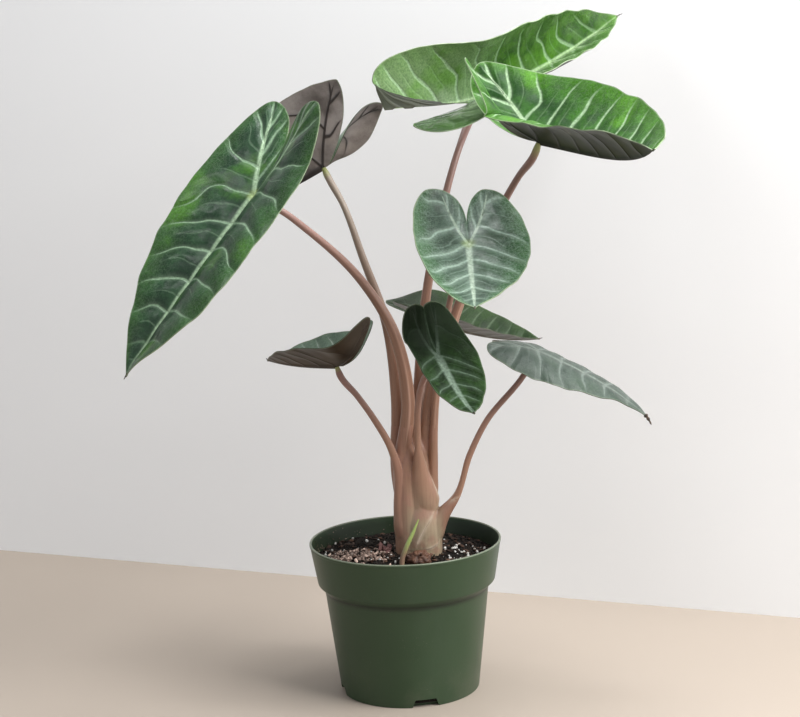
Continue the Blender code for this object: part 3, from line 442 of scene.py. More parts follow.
# The undersides: dark, light and vein colours, the share of the vein colour, and how much their relief shows.
UNDER_LOOKS = {
    "large_left": dict(
        deep=(0.060, 0.065, 0.042), light=(0.110, 0.115, 0.075), vein=(0.150, 0.170, 0.100),
        veins=0.80, relief=0.60),
    # Its pale light colour is partly its own silvery grey and partly a painted sheen, laid in cloudy patches.
    "upper_left": dict(
        deep=(0.080, 0.070, 0.066), light=(0.420, 0.390, 0.380), vein=(0.014, 0.011, 0.011),
        veins=0.90, relief=1.00),
    "top": dict(
        deep=(0.018, 0.022, 0.012), light=(0.042, 0.048, 0.030), vein=(0.060, 0.066, 0.044),
        veins=0.60, relief=0.40),
    "top_right": dict(
        deep=(0.013, 0.017, 0.004), light=(0.031, 0.041, 0.010), vein=(0.008, 0.008, 0.005),
        veins=0.80, relief=0.50),
    "centre": dict(
        deep=(0.060, 0.075, 0.050), light=(0.120, 0.140, 0.100), vein=(0.160, 0.170, 0.120),
        veins=0.80, relief=0.60),
    "front": dict(
        deep=(0.050, 0.050, 0.036), light=(0.090, 0.090, 0.068), vein=(0.110, 0.105, 0.080),
        veins=0.80, relief=0.60),
    "back": dict(
        deep=(0.050, 0.048, 0.034), light=(0.090, 0.088, 0.064), vein=(0.120, 0.118, 0.085),
        veins=0.40, relief=0.20),
    "right": dict(
        deep=(0.070, 0.080, 0.060), light=(0.130, 0.145, 0.110), vein=(0.170, 0.180, 0.140),
        veins=0.80, relief=0.60),
    "lower_left": dict(
        deep=(0.015, 0.009, 0.004), light=(0.040, 0.027, 0.013), vein=(0.018, 0.012, 0.009),
        veins=0.20, relief=0.15),
}

PALE_EDGED = ("large_left", "top", "top_right", "centre")
MARGIN_COLOUR = (0.300, 0.380, 0.240)
SEAT_COLOUR = (0.330, 0.420, 0.080)

# How far inside the blade a dried tip starts.
TIP_OVERLAP = 0.0025
# A dried tip: the leaf, its length, its bend to the side and downwards, and its foot radius.
DRIED_TIPS = (
    ("large_left", 0.0030, (0.0002, -0.0005), 0.0007),
    ("top", 0.0060, (0.0005, -0.0015), 0.0005),
    ("top_right", 0.0030, (-0.0010, -0.0005), 0.0007),
    ("centre", 0.0030, (0.0005, -0.0005), 0.0005),
    ("front", 0.0025, (0.0010, 0.0005), 0.0006),
    ("back", 0.0030, (0.0005, 0.0005), 0.0005),
    ("right", 0.0050, (0.0005, -0.0035), 0.0017),
    ("lower_left", 0.0030, (0.0010, 0.0010), 0.0007),
)


def select_none():
    """Clears the selection."""
    bpy.ops.object.select_all(action="DESELECT")


def select_only(item):
    """Makes one object the active and only selected one."""
    select_none()
    bpy.context.view_layer.objects.active = item
    item.select_set(True)


def apply_modifiers(item):
    """Applies all modifiers of an object in their order."""
    select_only(item)
    for modifier in list(item.modifiers):
        bpy.ops.object.modifier_apply(modifier=modifier.name)


def apply_place(item):
    """Puts an object's place, turn and size into its mesh."""
    select_only(item)
    bpy.ops.object.transform_apply(location=True, rotation=True, scale=True)


def edit_all(item):
    """Opens a mesh in edit mode with all of it selected."""
    select_only(item)
    bpy.ops.object.mode_set(mode="EDIT")
    bpy.ops.mesh.select_all(action="SELECT")


def close_edit():
    """Leaves edit mode."""
    bpy.ops.object.mode_set(mode="OBJECT")


def merge_and_face_out(item):
    """Merges doubled corners and turns all faces outwards."""
    edit_all(item)
    bpy.ops.mesh.remove_doubles(threshold=MERGE_DISTANCE)
    bpy.ops.mesh.normals_make_consistent(inside=False)
    close_edit()


def smooth(item, angle=40.0):
    """Shades an object smooth, with its sharp edges kept."""
    select_only(item)
    bpy.ops.object.shade_smooth_by_angle(angle=math.radians(angle))


def join(items, name):
    """Joins objects into the first one."""
    select_none()
    for item in items:
        item.select_set(True)
    bpy.context.view_layer.objects.active = items[0]
    bpy.ops.object.join()
    joined = bpy.context.view_layer.objects.active
    joined.name = name
    joined.data.name = name
    return joined


def corner_places(mesh):
    """The corners of a mesh as rows of x, y, z."""
    places = np.empty(len(mesh.vertices) * 3)
    mesh.vertices.foreach_get("co", places)
    return places.reshape(-1, 3)


def move_corners(mesh, places):
    """Moves the corners of a mesh."""
    mesh.vertices.foreach_set("co", np.asarray(places, dtype=float).ravel())
    mesh.update()


def set_corner_value(mesh, name, values):
    """Keeps one number for each corner under a name that the materials read."""
    layer = mesh.attributes.new(name, "FLOAT", "POINT")
    layer.data.foreach_set("value", np.asarray(values, dtype=np.float32))


def set_flat_map(mesh, name, flat):
    """Keeps a flat x and y for each corner as the mesh's own map."""
    layer = mesh.uv_layers.active
    layer.name = name
    at = np.empty(len(mesh.loops), dtype=np.int32)
    mesh.loops.foreach_get("vertex_index", at)
    layer.data.foreach_set("uv", np.asarray(flat, dtype=np.float32)[at].ravel())


def place_piece(item, node, material=None):
    """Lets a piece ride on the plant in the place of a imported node, with its material."""
    if material:
        item.data.materials.append(material)
    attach(item, BODY)
    if node:
        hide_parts(node)


def feed(tree, socket, value):
    """Links a socket to another node's output, or sets its own value."""
    if isinstance(value, bpy.types.NodeSocket):
        tree.links.new(value, socket)
    elif socket.type == "RGBA":
        socket.default_value = (*value, 1.0)
    else:
        socket.default_value = value


def math_node(tree, operation, first, second=0.0, clamp=False):
    """One step of arithmetic."""
    node = tree.nodes.new("ShaderNodeMath")
    node.operation = operation
    node.use_clamp = clamp
    feed(tree, node.inputs[0], first)
    feed(tree, node.inputs[1], second)
    return node.outputs[0]


def times(tree, first, second):
    """One product."""
    return math_node(tree, "MULTIPLY", first, second)


def plus(tree, first, second):
    """The sum of two numbers."""
    return math_node(tree, "ADD", first, second)


def scaled(tree, value, factor, rest):
    """A value times a factor, with the rest added."""
    result = math_node(tree, "MULTIPLY_ADD", value, factor)
    feed(tree, result.node.inputs[2], rest)
    return result


def split_axes(tree, vector):
    """The x, y and z of a vector."""
    node = tree.nodes.new("ShaderNodeSeparateXYZ")
    feed(tree, node.inputs[0], vector)
    return node.outputs


def ramp(tree, value, low, high, start=0.0, end=1.0):
    """Runs softly from start to end while value goes from low to high."""
    node = tree.nodes.new("ShaderNodeMapRange")
    node.interpolation_type = "SMOOTHSTEP"
    feed(tree, node.inputs["Value"], value)
    feed(tree, node.inputs["From Min"], low)
    feed(tree, node.inputs["From Max"], high)
    feed(tree, node.inputs["To Min"], start)
    feed(tree, node.inputs["To Max"], end)
    return node.outputs["Result"]


def mix(tree, share, first, second, blend="MIX"):
    """Mixes two colours."""
    node = tree.nodes.new("ShaderNodeMix")
    node.data_type = "RGBA"
    node.blend_type = blend
    feed(tree, node.inputs["Factor"], share)
    feed(tree, node.inputs[6], first)
    feed(tree, node.inputs[7], second)
    return node.outputs[2]


def noise_node(tree, vector, scale, detail=3.0, roughness=0.5):
    """Cloudy noise from 0 to 1."""
    node = tree.nodes.new("ShaderNodeTexNoise")
    feed(tree, node.inputs["Vector"], vector)
    node.inputs["Scale"].default_value = scale
    node.inputs["Detail"].default_value = detail
    node.inputs["Roughness"].default_value = roughness
    return node.outputs["Fac"]


def stretched(tree, vector, scale):
    """Stretches a pattern along the axes."""
    node = tree.nodes.new("ShaderNodeMapping")
    feed(tree, node.inputs["Vector"], vector)
    node.inputs["Scale"].default_value = scale
    return node.outputs["Vector"]


def object_place(tree):
    """The place on the object, in metres."""
    return tree.nodes.new("ShaderNodeTexCoord").outputs["Object"]


def corner_value(tree, name):
    """A number kept for each corner."""
    node = tree.nodes.new("ShaderNodeAttribute")
    node.attribute_name = name
    return node.outputs["Fac"]


def flat_place(tree, name):
    """The place on a piece's own flat map."""
    node = tree.nodes.new("ShaderNodeUVMap")
    node.uv_map = name
    return node.outputs["UV"]


def new_material(name, roughness=0.5, coat=0.0, coat_roughness=0.2, specular=0.5):
    """A material with one Principled shader, and its node tree."""
    material = bpy.data.materials.new(name)
    material.use_nodes = True
    tree = material.node_tree
    shader = tree.nodes["Principled BSDF"]
    shader.inputs["Roughness"].default_value = roughness
    shader.inputs["Coat Weight"].default_value = coat
    shader.inputs["Coat Roughness"].default_value = coat_roughness
    shader.inputs["Specular IOR Level"].default_value = specular
    return material, tree, shader


def add_bump(tree, shader, height, distance, strength=1.0):
    """Raises the surface by a height pattern."""
    node = tree.nodes.new("ShaderNodeBump")
    node.inputs["Distance"].default_value = distance
    node.inputs["Strength"].default_value = strength
    feed(tree, node.inputs["Height"], height)
    tree.links.new(node.outputs["Normal"], shader.inputs["Normal"])


def new_group(name, inputs, outputs):
    """A node group with number inputs and number outputs, and its two end nodes."""
    tree = bpy.data.node_groups.new(name, "ShaderNodeTree")
    for label, value in inputs.items():
        socket = tree.interface.new_socket(name=label, in_out="INPUT", socket_type="NodeSocketFloat")
        socket.default_value = value
    for label in outputs:
        tree.interface.new_socket(name=label, in_out="OUTPUT", socket_type="NodeSocketFloat")
    return tree, tree.nodes.new("NodeGroupInput").outputs, tree.nodes.new("NodeGroupOutput").inputs


def use_group(tree, group, **values):
    """Puts a group in a material with its own values and gives its outputs."""
    node = tree.nodes.new("ShaderNodeGroup")
    node.node_tree = group
    for label, value in values.items():
        feed(tree, node.inputs[label.replace("_", " ").title()], value)
    return node.outputs


def crinkle(tree, vector, scale, width):
    """Thin meandering lines."""
    lean = math_node(tree, "SUBTRACT", noise_node(tree, vector, scale, 2.0), 0.5)
    return ramp(tree, math_node(tree, "ABSOLUTE", lean), 0.0, width, 1.0, 0.0)


def off_vein(tree, number, gap, shift):
    """The distance to the nearest vein, or with a shift of a half to the line between two veins."""
    part = math_node(tree, "FRACT", plus(tree, number, 0.5 + shift))
    away = math_node(tree, "ABSOLUTE", math_node(tree, "SUBTRACT", part, 0.5))
    return times(tree, away, gap)


def veins_group():
    """Where the veins, their halo, the fine net, the margin and the patches lie on a blade."""
    inputs = {"Vein Width": 0.0016, "Rib Width": 0.0028, "Halo Width": 0.005, "Seed": 0.0}
    outputs = (
        "Veins", "Minor", "Ribs", "Halo", "Net", "Margin", "Outer", "Left Lobe", "Right Lobe", "Patches",
        "Cushion")
    tree, given, out = new_group("leaf_veins", inputs, outputs)
    number = corner_value(tree, "vein")
    gap = corner_value(tree, "gap")
    to_rib = corner_value(tree, "to_rib")
    to_edge = corner_value(tree, "to_edge")
    rib_size = corner_value(tree, "rib_size")
    row = corner_value(tree, "row")
    tipward = corner_value(tree, "tipward")
    flat = flat_place(tree, "flat")
    place = object_place(tree)

    near_vein = off_vein(tree, number, gap, 0.0)
    thinner = scaled(tree, row, -0.60, 1.0)
    uneven = scaled(tree, noise_node(tree, flat, 160.0), 0.8, 0.6)
    vein_width = times(tree, given["Vein Width"], thinner)
    vein_width = times(tree, vein_width, uneven)
    vein_core = times(tree, vein_width, 0.28)
    veins = ramp(tree, near_vein, vein_core, vein_width, 1.0, 0.0)
    fading = ramp(tree, row, 0.70, 0.97, 1.0, 0.15)
    fading = times(tree, fading, ramp(tree, tipward, 0.55, 0.95, 1.0, 0.20))
    feed(tree, out["Veins"], times(tree, veins, fading))

    between = off_vein(tree, number, gap, 0.5)
    minor = ramp(tree, between, 0.0, times(tree, vein_width, 0.7), 1.0, 0.0)
    feed(tree, out["Minor"], times(tree, minor, ramp(tree, row, 0.45, 0.80, 1.0, 0.0)))

    size = scaled(tree, rib_size, 0.65, 0.35)
    rib_width = times(tree, given["Rib Width"], size)
    rib_core = times(tree, rib_width, 0.30)
    ribs = ramp(tree, to_rib, rib_core, rib_width, 1.0, 0.0)
    feed(tree, out["Ribs"], times(tree, ribs, ramp(tree, tipward, 0.70, 1.0, 1.0, 0.55)))

    halo_width = times(tree, given["Halo Width"], thinner)
    by_vein = math_node(tree, "POWER", ramp(tree, near_vein, 0.0, halo_width, 1.0, 0.0), 1.5)
    by_vein = times(tree, by_vein, fading)
    by_rib = math_node(tree, "POWER", ramp(tree, to_rib, 0.0, given["Halo Width"], 1.0, 0.0), 1.5)
    by_rib = times(tree, by_rib, ramp(tree, tipward, 0.55, 0.95, 1.0, 0.20))
    feed(tree, out["Halo"], math_node(tree, "MAXIMUM", by_vein, by_rib))

    net = math_node(tree, "MAXIMUM", crinkle(tree, flat, 140.0, 0.035), crinkle(tree, flat, 380.0, 0.050))
    feed(tree, out["Net"], times(tree, net, ramp(tree, row, 0.2, 0.8, 0.25, 1.0)))

    feed(tree, out["Margin"], ramp(tree, to_edge, 0.0003, 0.0013, 1.0, 0.0))

    clouds = noise_node(tree, flat, 75.0, 4.0)
    edge_zone = plus(tree, row, times(tree, clouds, 0.5))
    feed(tree, out["Outer"], ramp(tree, edge_zone, 0.70, 1.25))
    # Left Lobe and Right Lobe mark the lobes near the stalk, where painted light and painted shade are laid.
    ahead = split_axes(tree, flat)
    base_zone = plus(tree, ahead["X"], times(tree, clouds, 0.03))
    lobes = ramp(tree, base_zone, -0.005, 0.040, 1.0, 0.0)
    left = ramp(tree, ahead["Y"], -0.0015, 0.0015)
    on_left = times(tree, lobes, left)
    feed(tree, out["Left Lobe"], on_left)
    feed(tree, out["Right Lobe"], math_node(tree, "SUBTRACT", lobes, on_left))

    shifted = tree.nodes.new("ShaderNodeVectorMath")
    shifted.operation = "ADD"
    feed(tree, shifted.inputs[0], place)
    feed(tree, shifted.inputs[1], given["Seed"])
    clouds = noise_node(tree, shifted.outputs[0], 24.0, 3.0, 0.5)
    feed(tree, out["Patches"], ramp(tree, clouds, 0.52, 0.70))

    feed(tree, out["Cushion"], ramp(tree, near_vein, 0.0, 0.0065))
    return tree


def speckle_group():
    """Fine living skin: small pale dots and faint clouds, the same on stalks, stem and blades."""
    tree, given, out = new_group("living_skin", {"Dots": 600.0, "Clouds": 60.0}, ("Dots", "Clouds"))
    place = object_place(tree)
    cells = tree.nodes.new("ShaderNodeTexVoronoi")
    feed(tree, cells.inputs["Vector"], place)
    feed(tree, cells.inputs["Scale"], given["Dots"])
    feed(tree, out["Dots"], ramp(tree, cells.outputs["Distance"], 0.05, 0.35, 1.0, 0.0))
    clouds = tree.nodes.new("ShaderNodeTexNoise")
    feed(tree, clouds.inputs["Vector"], place)
    feed(tree, clouds.inputs["Scale"], given["Clouds"])
    clouds.inputs["Detail"].default_value = 4.0
    feed(tree, out["Clouds"], clouds.outputs["Fac"])
    return tree


def dust_group():
    """Dust and dried soil, thicker low down and in clouds."""
    tree, given, out = new_group("dust", {"Low": 0.0, "High": 0.05}, ("Dust", "Specks"))
    place = object_place(tree)
    split = split_axes(tree, place)
    low = ramp(tree, split["Z"], given["Low"], given["High"], 1.0, 0.0)
    clouds = ramp(tree, noise_node(tree, place, 28.0, 5.0, 0.6), 0.42, 0.75)
    feed(tree, out["Dust"], times(tree, low, clouds))
    specks = ramp(tree, noise_node(tree, place, 900.0, 2.0), 0.66, 0.74)
    feed(tree, out["Specks"], times(tree, specks, clouds))
    return tree


def leaf_upper(name, look, veins, skin, seed):
    """The upper face of a blade: deep and light green, pale sunken veins with a halo, and a fine net."""
    material, tree, shader = new_material(
        name + "_upper", look["roughness"], look["coat"], coat_roughness=0.14, specular=look["gloss"])
    masks = use_group(
        tree, veins, vein_width=look["vein_width"], rib_width=look["rib_width"],
        halo_width=look["halo_width"], seed=seed)
    grain = use_group(tree, skin, dots=900.0, clouds=70.0)
    clouds = ramp(tree, grain["Clouds"], 0.38, 0.64)
    colour = mix(tree, clouds, look["deep"], look["light"])
    # The first two layers lay painted light or shade on the lobes, and the last two lay painted shade over
    # their veins.
    layers = (
        ("Left Lobe", *look["lobes"][0]),
        ("Right Lobe", *look["lobes"][1]),
        ("Patches", look["patches"], look["patch"]),
        ("Outer", look["rim_green"], look["patch"]),
        ("Halo", look["halo"], look["vein"]),
        ("Net", look["network"], look["vein"]),
        ("Minor", look["minor"], look["vein"]),
        ("Veins", 0.80, look["vein"]),
        ("Ribs", 0.92, look["rib"]),
        ("Left Lobe", *look["painted_cover_shade"][0]),
        ("Right Lobe", *look["painted_cover_shade"][1]),
    )
    for mask, share, tint in layers:
        colour = mix(tree, times(tree, masks[mask], share), colour, tint)
    mottle = ramp(tree, noise_node(tree, flat_place(tree, "flat"), 420.0, 4.0, 0.65), 0.40, 0.66, 0.0, 0.35)
    colour = mix(tree, mottle, colour, tuple(0.6 * channel for channel in look["deep"]))
    seat = ramp(tree, corner_value(tree, "to_seat"), 0.002, 0.008, look["seat"], 0.0)
    colour = mix(tree, seat, colour, SEAT_COLOUR)
    colour = mix(tree, times(tree, masks["Margin"], look["rim"]), colour, MARGIN_COLOUR)
    feed(tree, shader.inputs["Base Color"], colour)
    rough = scaled(tree, grain["Clouds"], 0.24, look["roughness"] - 0.12)
    feed(tree, shader.inputs["Roughness"], rough)

    height = scaled(tree, masks["Veins"], -0.45, masks["Cushion"])
    height = plus(tree, height, times(tree, masks["Ribs"], 0.30))
    height = math_node(tree, "SUBTRACT", height, times(tree, masks["Net"], 0.10))
    height = math_node(tree, "SUBTRACT", height, times(tree, masks["Minor"], 0.20))
    height = plus(tree, height, times(tree, grain["Clouds"], 0.8))
    add_bump(tree, shader, height, 0.0009, 0.9)
    return material


def leaf_under(name, look, veins, skin, seed):
    """The underside of a blade: dull and dark, with raised veins."""
    material, tree, shader = new_material(name + "_under", 0.42, 0.0, specular=0.5)
    masks = use_group(
        tree, veins, vein_width=0.0021, rib_width=0.0036, halo_width=0.006, seed=seed)
    grain = use_group(tree, skin, dots=700.0, clouds=30.0)
    clouds = ramp(tree, grain["Clouds"], 0.32, 0.68)
    colour = mix(tree, clouds, look["deep"], look["light"])
    for mask, share in (("Halo", 0.20), ("Net", 0.12), ("Veins", look["veins"]), ("Ribs", look["veins"])):
        colour = mix(tree, times(tree, masks[mask], share), colour, look["vein"])
    colour = mix(tree, times(tree, masks["Margin"], 0.3), colour, MARGIN_COLOUR)
    feed(tree, shader.inputs["Base Color"], colour)
    raised = math_node(tree, "MAXIMUM", masks["Veins"], masks["Ribs"])
    height = math_node(tree, "SUBTRACT", raised, times(tree, masks["Cushion"], 0.8))
    height = plus(tree, height, times(tree, grain["Clouds"], 0.5))
    add_bump(tree, shader, height, 0.0006, look["relief"])
    return material


def leaf_edge(name, light, dark):
    """The thin rim of a blade."""
    material, tree, shader = new_material(name, 0.45, specular=0.3)
    clouds = ramp(tree, noise_node(tree, object_place(tree), 120.0), 0.35, 0.65)
    feed(tree, shader.inputs["Base Color"], mix(tree, clouds, light, dark))
    add_bump(tree, shader, noise_node(tree, object_place(tree), 700.0), 0.0002, 0.5)
    return material


def dried_tip():
    """Dried leaf tissue, brown to nearly black."""
    material, tree, shader = new_material("dried_tip", 0.6)
    clouds = ramp(tree, noise_node(tree, object_place(tree), 260.0, 4.0), 0.35, 0.65)
    feed(tree, shader.inputs["Base Color"], mix(tree, clouds, (0.008, 0.006, 0.004), (0.070, 0.040, 0.022)))
    add_bump(tree, shader, noise_node(tree, object_place(tree), 900.0), 0.0004, 0.8)
    return material


def stalk_skin(name, low, high, knob, skin):
    """A leaf stalk: pink-brown, greyer and greener near its blade, with fine streaks along it."""
    material, tree, shader = new_material(name, 0.38, 0.12, coat_roughness=0.25)
    along = corner_value(tree, "along")
    grain = use_group(tree, skin, dots=900.0, clouds=90.0)
    streaks = noise_node(tree, stretched(tree, flat_place(tree, "flat"), (60.0, 6.0, 1.0)), 1.0, 4.0, 0.6)
    colour = mix(tree, ramp(tree, along, 0.15, 0.9), low, high)
    colour = mix(tree, ramp(tree, along, 0.95, 0.995), colour, knob)
    dark = times(tree, ramp(tree, streaks, 0.42, 0.75), 0.40)
    colour = mix(tree, dark, colour, (0.100, 0.045, 0.036))
    pale = times(tree, grain["Dots"], 0.18)
    colour = mix(tree, pale, colour, (0.480, 0.330, 0.270))
    ridges = times(tree, corner_value(tree, "ridge"), 0.85)
    colour = mix(tree, ridges, colour, (0.560, 0.350, 0.270))
    feed(tree, shader.inputs["Base Color"], colour)
    height = plus(tree, streaks, times(tree, grain["Dots"], 0.2))
    add_bump(tree, shader, height, 0.0003, 0.6)
    return material


def stem_skin(skin):
    """The stem: pale tan low down and pink-brown above, painted shade in its folds and a painted highlight on
    its ridges, papery at its sheath edges.
    """
    material, tree, shader = new_material("stem_skin_detail", 0.40, 0.10, coat_roughness=0.3)
    place = object_place(tree)
    grain = use_group(tree, skin, dots=700.0, clouds=55.0)
    split = split_axes(tree, place)
    drift = scaled(tree, grain["Clouds"], 0.040, split["Z"])
    colour = mix(tree, ramp(tree, drift, 0.145, 0.215), (0.370, 0.285, 0.190), (0.320, 0.175, 0.112))
    green = times(tree, ramp(tree, drift, 0.185, 0.135), 0.35)
    colour = mix(tree, green, colour, (0.360, 0.330, 0.210))
    blush = ramp(tree, noise_node(tree, place, 75.0, 3.0), 0.48, 0.68, 0.0, 0.55)
    colour = mix(tree, blush, colour, (0.370, 0.190, 0.140))
    by_side = plus(tree, ramp(tree, split["X"], 0.028, 0.036), ramp(tree, split["X"], 0.006, -0.003))
    by_side = math_node(tree, "MULTIPLY", by_side, 0.8, clamp=True)
    colour = mix(tree, by_side, colour, (0.330, 0.170, 0.118))
    streaks = noise_node(tree, stretched(tree, place, (420.0, 420.0, 26.0)), 1.0, 4.0, 0.6)
    dark = times(tree, ramp(tree, streaks, 0.45, 0.78), 0.30)
    colour = mix(tree, dark, colour, (0.140, 0.068, 0.050))
    # Painted shade in the folds and a painted highlight on the ridges, both read from the stem's curvature.
    folds = ramp(tree, corner_value(tree, "hollow"), 0.15, 0.90, 0.0, 0.75)
    colour = mix(tree, folds, colour, (0.090, 0.038, 0.028))
    ridges = ramp(tree, corner_value(tree, "hollow"), -0.25, -0.90, 0.0, 0.25)
    colour = mix(tree, ridges, colour, (0.560, 0.430, 0.330))
    near_foot = ramp(tree, split["Z"], 0.152, 0.128)
    crinkles = noise_node(tree, stretched(tree, place, (330.0, 330.0, 210.0)), 1.0, 4.0, 0.65)
    mottle = times(tree, ramp(tree, crinkles, 0.44, 0.66, 0.0, 0.50), near_foot)
    colour = mix(tree, mottle, colour, (0.200, 0.140, 0.092))
    paper = times(tree, corner_value(tree, "paper"), ramp(tree, grain["Clouds"], 0.35, 0.6, 0.2, 0.8))
    colour = mix(tree, paper, colour, (0.600, 0.490, 0.375))
    feed(tree, shader.inputs["Base Color"], colour)
    height = plus(tree, streaks, times(tree, grain["Clouds"], 0.7))
    height = plus(tree, height, times(tree, crinkles, near_foot))
    add_bump(tree, shader, height, 0.0005, 0.6)
    return material


def shoot_skin():
    """The young shoot: pink-brown at its foot, then light green, with a seam that winds up it."""
    material, tree, shader = new_material("shoot_skin_detail", 0.4, 0.1)
    along = corner_value(tree, "along")
    colour = mix(tree, ramp(tree, along, 0.34, 0.66), (0.300, 0.170, 0.125), (0.330, 0.420, 0.120))
    streaks = noise_node(tree, stretched(tree, flat_place(tree, "flat"), (30.0, 3.0, 1.0)), 1.0, 3.0)
    colour = mix(tree, ramp(tree, streaks, 0.45, 0.75, 0.0, 0.5), colour, (0.500, 0.600, 0.260))
    ridge = times(tree, corner_value(tree, "ridge"), 0.6)
    colour = mix(tree, ridge, colour, (0.120, 0.150, 0.050))
    feed(tree, shader.inputs["Base Color"], colour)
    add_bump(tree, shader, streaks, 0.0003, 0.6)
    return material


def pot_plastic(dust):
    """Dark green moulded plastic: satin, a little uneven, with dust near its foot, painted shade and a
    painted rim highlight.
    """
    material, tree, shader = new_material(
        "pot_plastic_detail", 0.42, coat=0.12, coat_roughness=0.22, specular=0.38)
    place = object_place(tree)
    soiling = use_group(tree, dust, low=0.0, high=0.045)
    clouds = ramp(tree, noise_node(tree, place, 11.0, 3.0), 0.35, 0.68)
    colour = mix(tree, clouds, (0.022, 0.050, 0.020), (0.029, 0.059, 0.026))
    flow = noise_node(tree, stretched(tree, place, (40.0, 40.0, 5.0)), 1.0, 4.0, 0.6)
    colour = mix(tree, ramp(tree, flow, 0.45, 0.75, 0.0, 0.30), colour, (0.040, 0.066, 0.037))
    split = split_axes(tree, place)
    # Painted shade: a narrow dark ring on the wall just under the band.
    painted_shade_under_band = ramp(tree, split["Z"], UNDER_BAND_SHADE[0], UNDER_BAND_SHADE[1], 0.0, 0.75)
    below_lip = ramp(tree, split["Z"], UNDER_BAND_SHADE[3], UNDER_BAND_SHADE[2])
    painted_shade_under_band = times(tree, painted_shade_under_band, below_lip)
    colour = mix(tree, painted_shade_under_band, colour, (0.006, 0.012, 0.006))
    # Painted shade on the inner wall above the band's foot, darker deeper down in the pot.
    flare = (RIM_RADIUS - BAND_FOOT_RADIUS) / (POT_HEIGHT - BAND_FOOT_HEIGHT)
    outer = times(tree, split["Z"], flare)
    outer = plus(tree, outer, RIM_RADIUS - flare * POT_HEIGHT)
    length = tree.nodes.new("ShaderNodeVectorMath")
    length.operation = "LENGTH"
    feed(tree, length.inputs[0], stretched(tree, place, (1.0, 1.0, 0.0)))
    depth = math_node(tree, "SUBTRACT", outer, length.outputs["Value"])
    inner = ramp(tree, depth, INNER_WALL[0], INNER_WALL[1])
    inner_shade_share = ramp(tree, split["Z"], INNER_WALL_SHADE[1], INNER_WALL_SHADE[0], 0.90, 0.35)
    painted_inner_shade = times(tree, inner, inner_shade_share)
    above_band = ramp(tree, split["Z"], BAND_FOOT_HEIGHT, BAND_FOOT_HEIGHT + 0.004)
    painted_inner_shade = times(tree, painted_inner_shade, above_band)
    colour = mix(tree, painted_inner_shade, colour, (0.008, 0.020, 0.005))
    # A painted highlight: a light line along the top edge of the rim.
    painted_rim_highlight = ramp(tree, split["Z"], RIM_HIGHLIGHT[0], RIM_HIGHLIGHT[1], 0.0, 0.65)
    colour = mix(tree, painted_rim_highlight, colour, (0.230, 0.260, 0.190))
    colour = mix(tree, times(tree, soiling["Dust"], 0.12), colour, (0.230, 0.200, 0.160))
    colour = mix(tree, times(tree, soiling["Specks"], 0.35), colour, (0.200, 0.190, 0.160))
    feed(tree, shader.inputs["Base Color"], colour)
    fine = noise_node(tree, place, 700.0, 2.0)
    rough = scaled(tree, flow, 0.22, 0.30)
    feed(tree, shader.inputs["Roughness"], rough)
    height = plus(tree, times(tree, fine, 0.35), flow)
    add_bump(tree, shader, height, 0.0002, 0.5)
    return material


def grain_material(name, dark, light, roughness, pitch, depth):
    """A loose grain: each has its own tint between dark and light, and a rough pitted skin."""
    material, tree, shader = new_material(name, roughness, specular=0.35)
    place = object_place(tree)
    skin = noise_node(tree, place, pitch, 4.0, 0.65)
    tint = scaled(tree, ramp(tree, skin, 0.3, 0.7), 0.45, times(tree, corner_value(tree, "tint"), 0.65))
    feed(tree, shader.inputs["Base Color"], mix(tree, tint, dark, light))
    add_bump(tree, shader, skin, depth, 1.0)
    return material


def soil_material():
    """Moist potting mix: nearly black, with brown fibres and small pale flecks."""
    material, tree, shader = new_material("potting_soil_detail", 0.85, specular=0.25)
    place = object_place(tree)
    lumps = noise_node(tree, place, 260.0, 5.0, 0.7)
    colour = mix(tree, ramp(tree, lumps, 0.35, 0.7), (0.003, 0.002, 0.0015), (0.014, 0.009, 0.006))
    fibres = noise_node(tree, stretched(tree, place, (900.0, 120.0, 300.0)), 1.0, 3.0)
    colour = mix(tree, ramp(tree, fibres, 0.66, 0.74, 0.0, 0.7), colour, (0.110, 0.066, 0.040))
    flecks = noise_node(tree, place, 1100.0, 2.0)
    colour = mix(tree, ramp(tree, flecks, 0.74, 0.80, 0.0, 0.8), colour, (0.360, 0.290, 0.220))
    feed(tree, shader.inputs["Base Color"], colour)
    add_bump(tree, shader, lumps, 0.0015, 1.0)
    return material


def corm_material():
    """The corm: rough reddish-brown skin with darker rings and pale scars."""
    material, tree, shader = new_material("corm_skin_detail", 0.6, specular=0.4)
    place = object_place(tree)
    lumps = noise_node(tree, place, 130.0, 5.0, 0.65)
    colour = mix(tree, ramp(tree, lumps, 0.35, 0.68), (0.050, 0.021, 0.013), (0.170, 0.080, 0.047))
    rings = noise_node(tree, stretched(tree, place, (260.0, 50.0, 50.0)), 1.0, 3.0)
    colour = mix(tree, ramp(tree, rings, 0.56, 0.70, 0.0, 0.6), colour, (0.040, 0.018, 0.012))
    scars = noise_node(tree, place, 420.0, 2.0)
    colour = mix(tree, ramp(tree, scars, 0.68, 0.76, 0.0, 0.8), colour, (0.480, 0.300, 0.190))
    feed(tree, shader.inputs["Base Color"], colour)
    add_bump(tree, shader, plus(tree, lumps, rings), 0.0008, 0.8)
    return material


def inner_profile():
    """The inside of the pot's wall, from the rim down to the floor: radius, height."""
    return (
        (RIM_RADIUS - POT_WALL, POT_HEIGHT),
        (BAND_FOOT_RADIUS - POT_WALL, BAND_FOOT_HEIGHT),
        (BODY_TOP_RADIUS - POT_WALL, BODY_TOP_HEIGHT),
        (BASE_RADIUS - POT_WALL, POT_FLOOR),
    )


def wall_radius(height):
    """The pot's inner radius at a height."""
    radii, heights = zip(*reversed(inner_profile()))
    return float(np.interp(height, heights, radii))


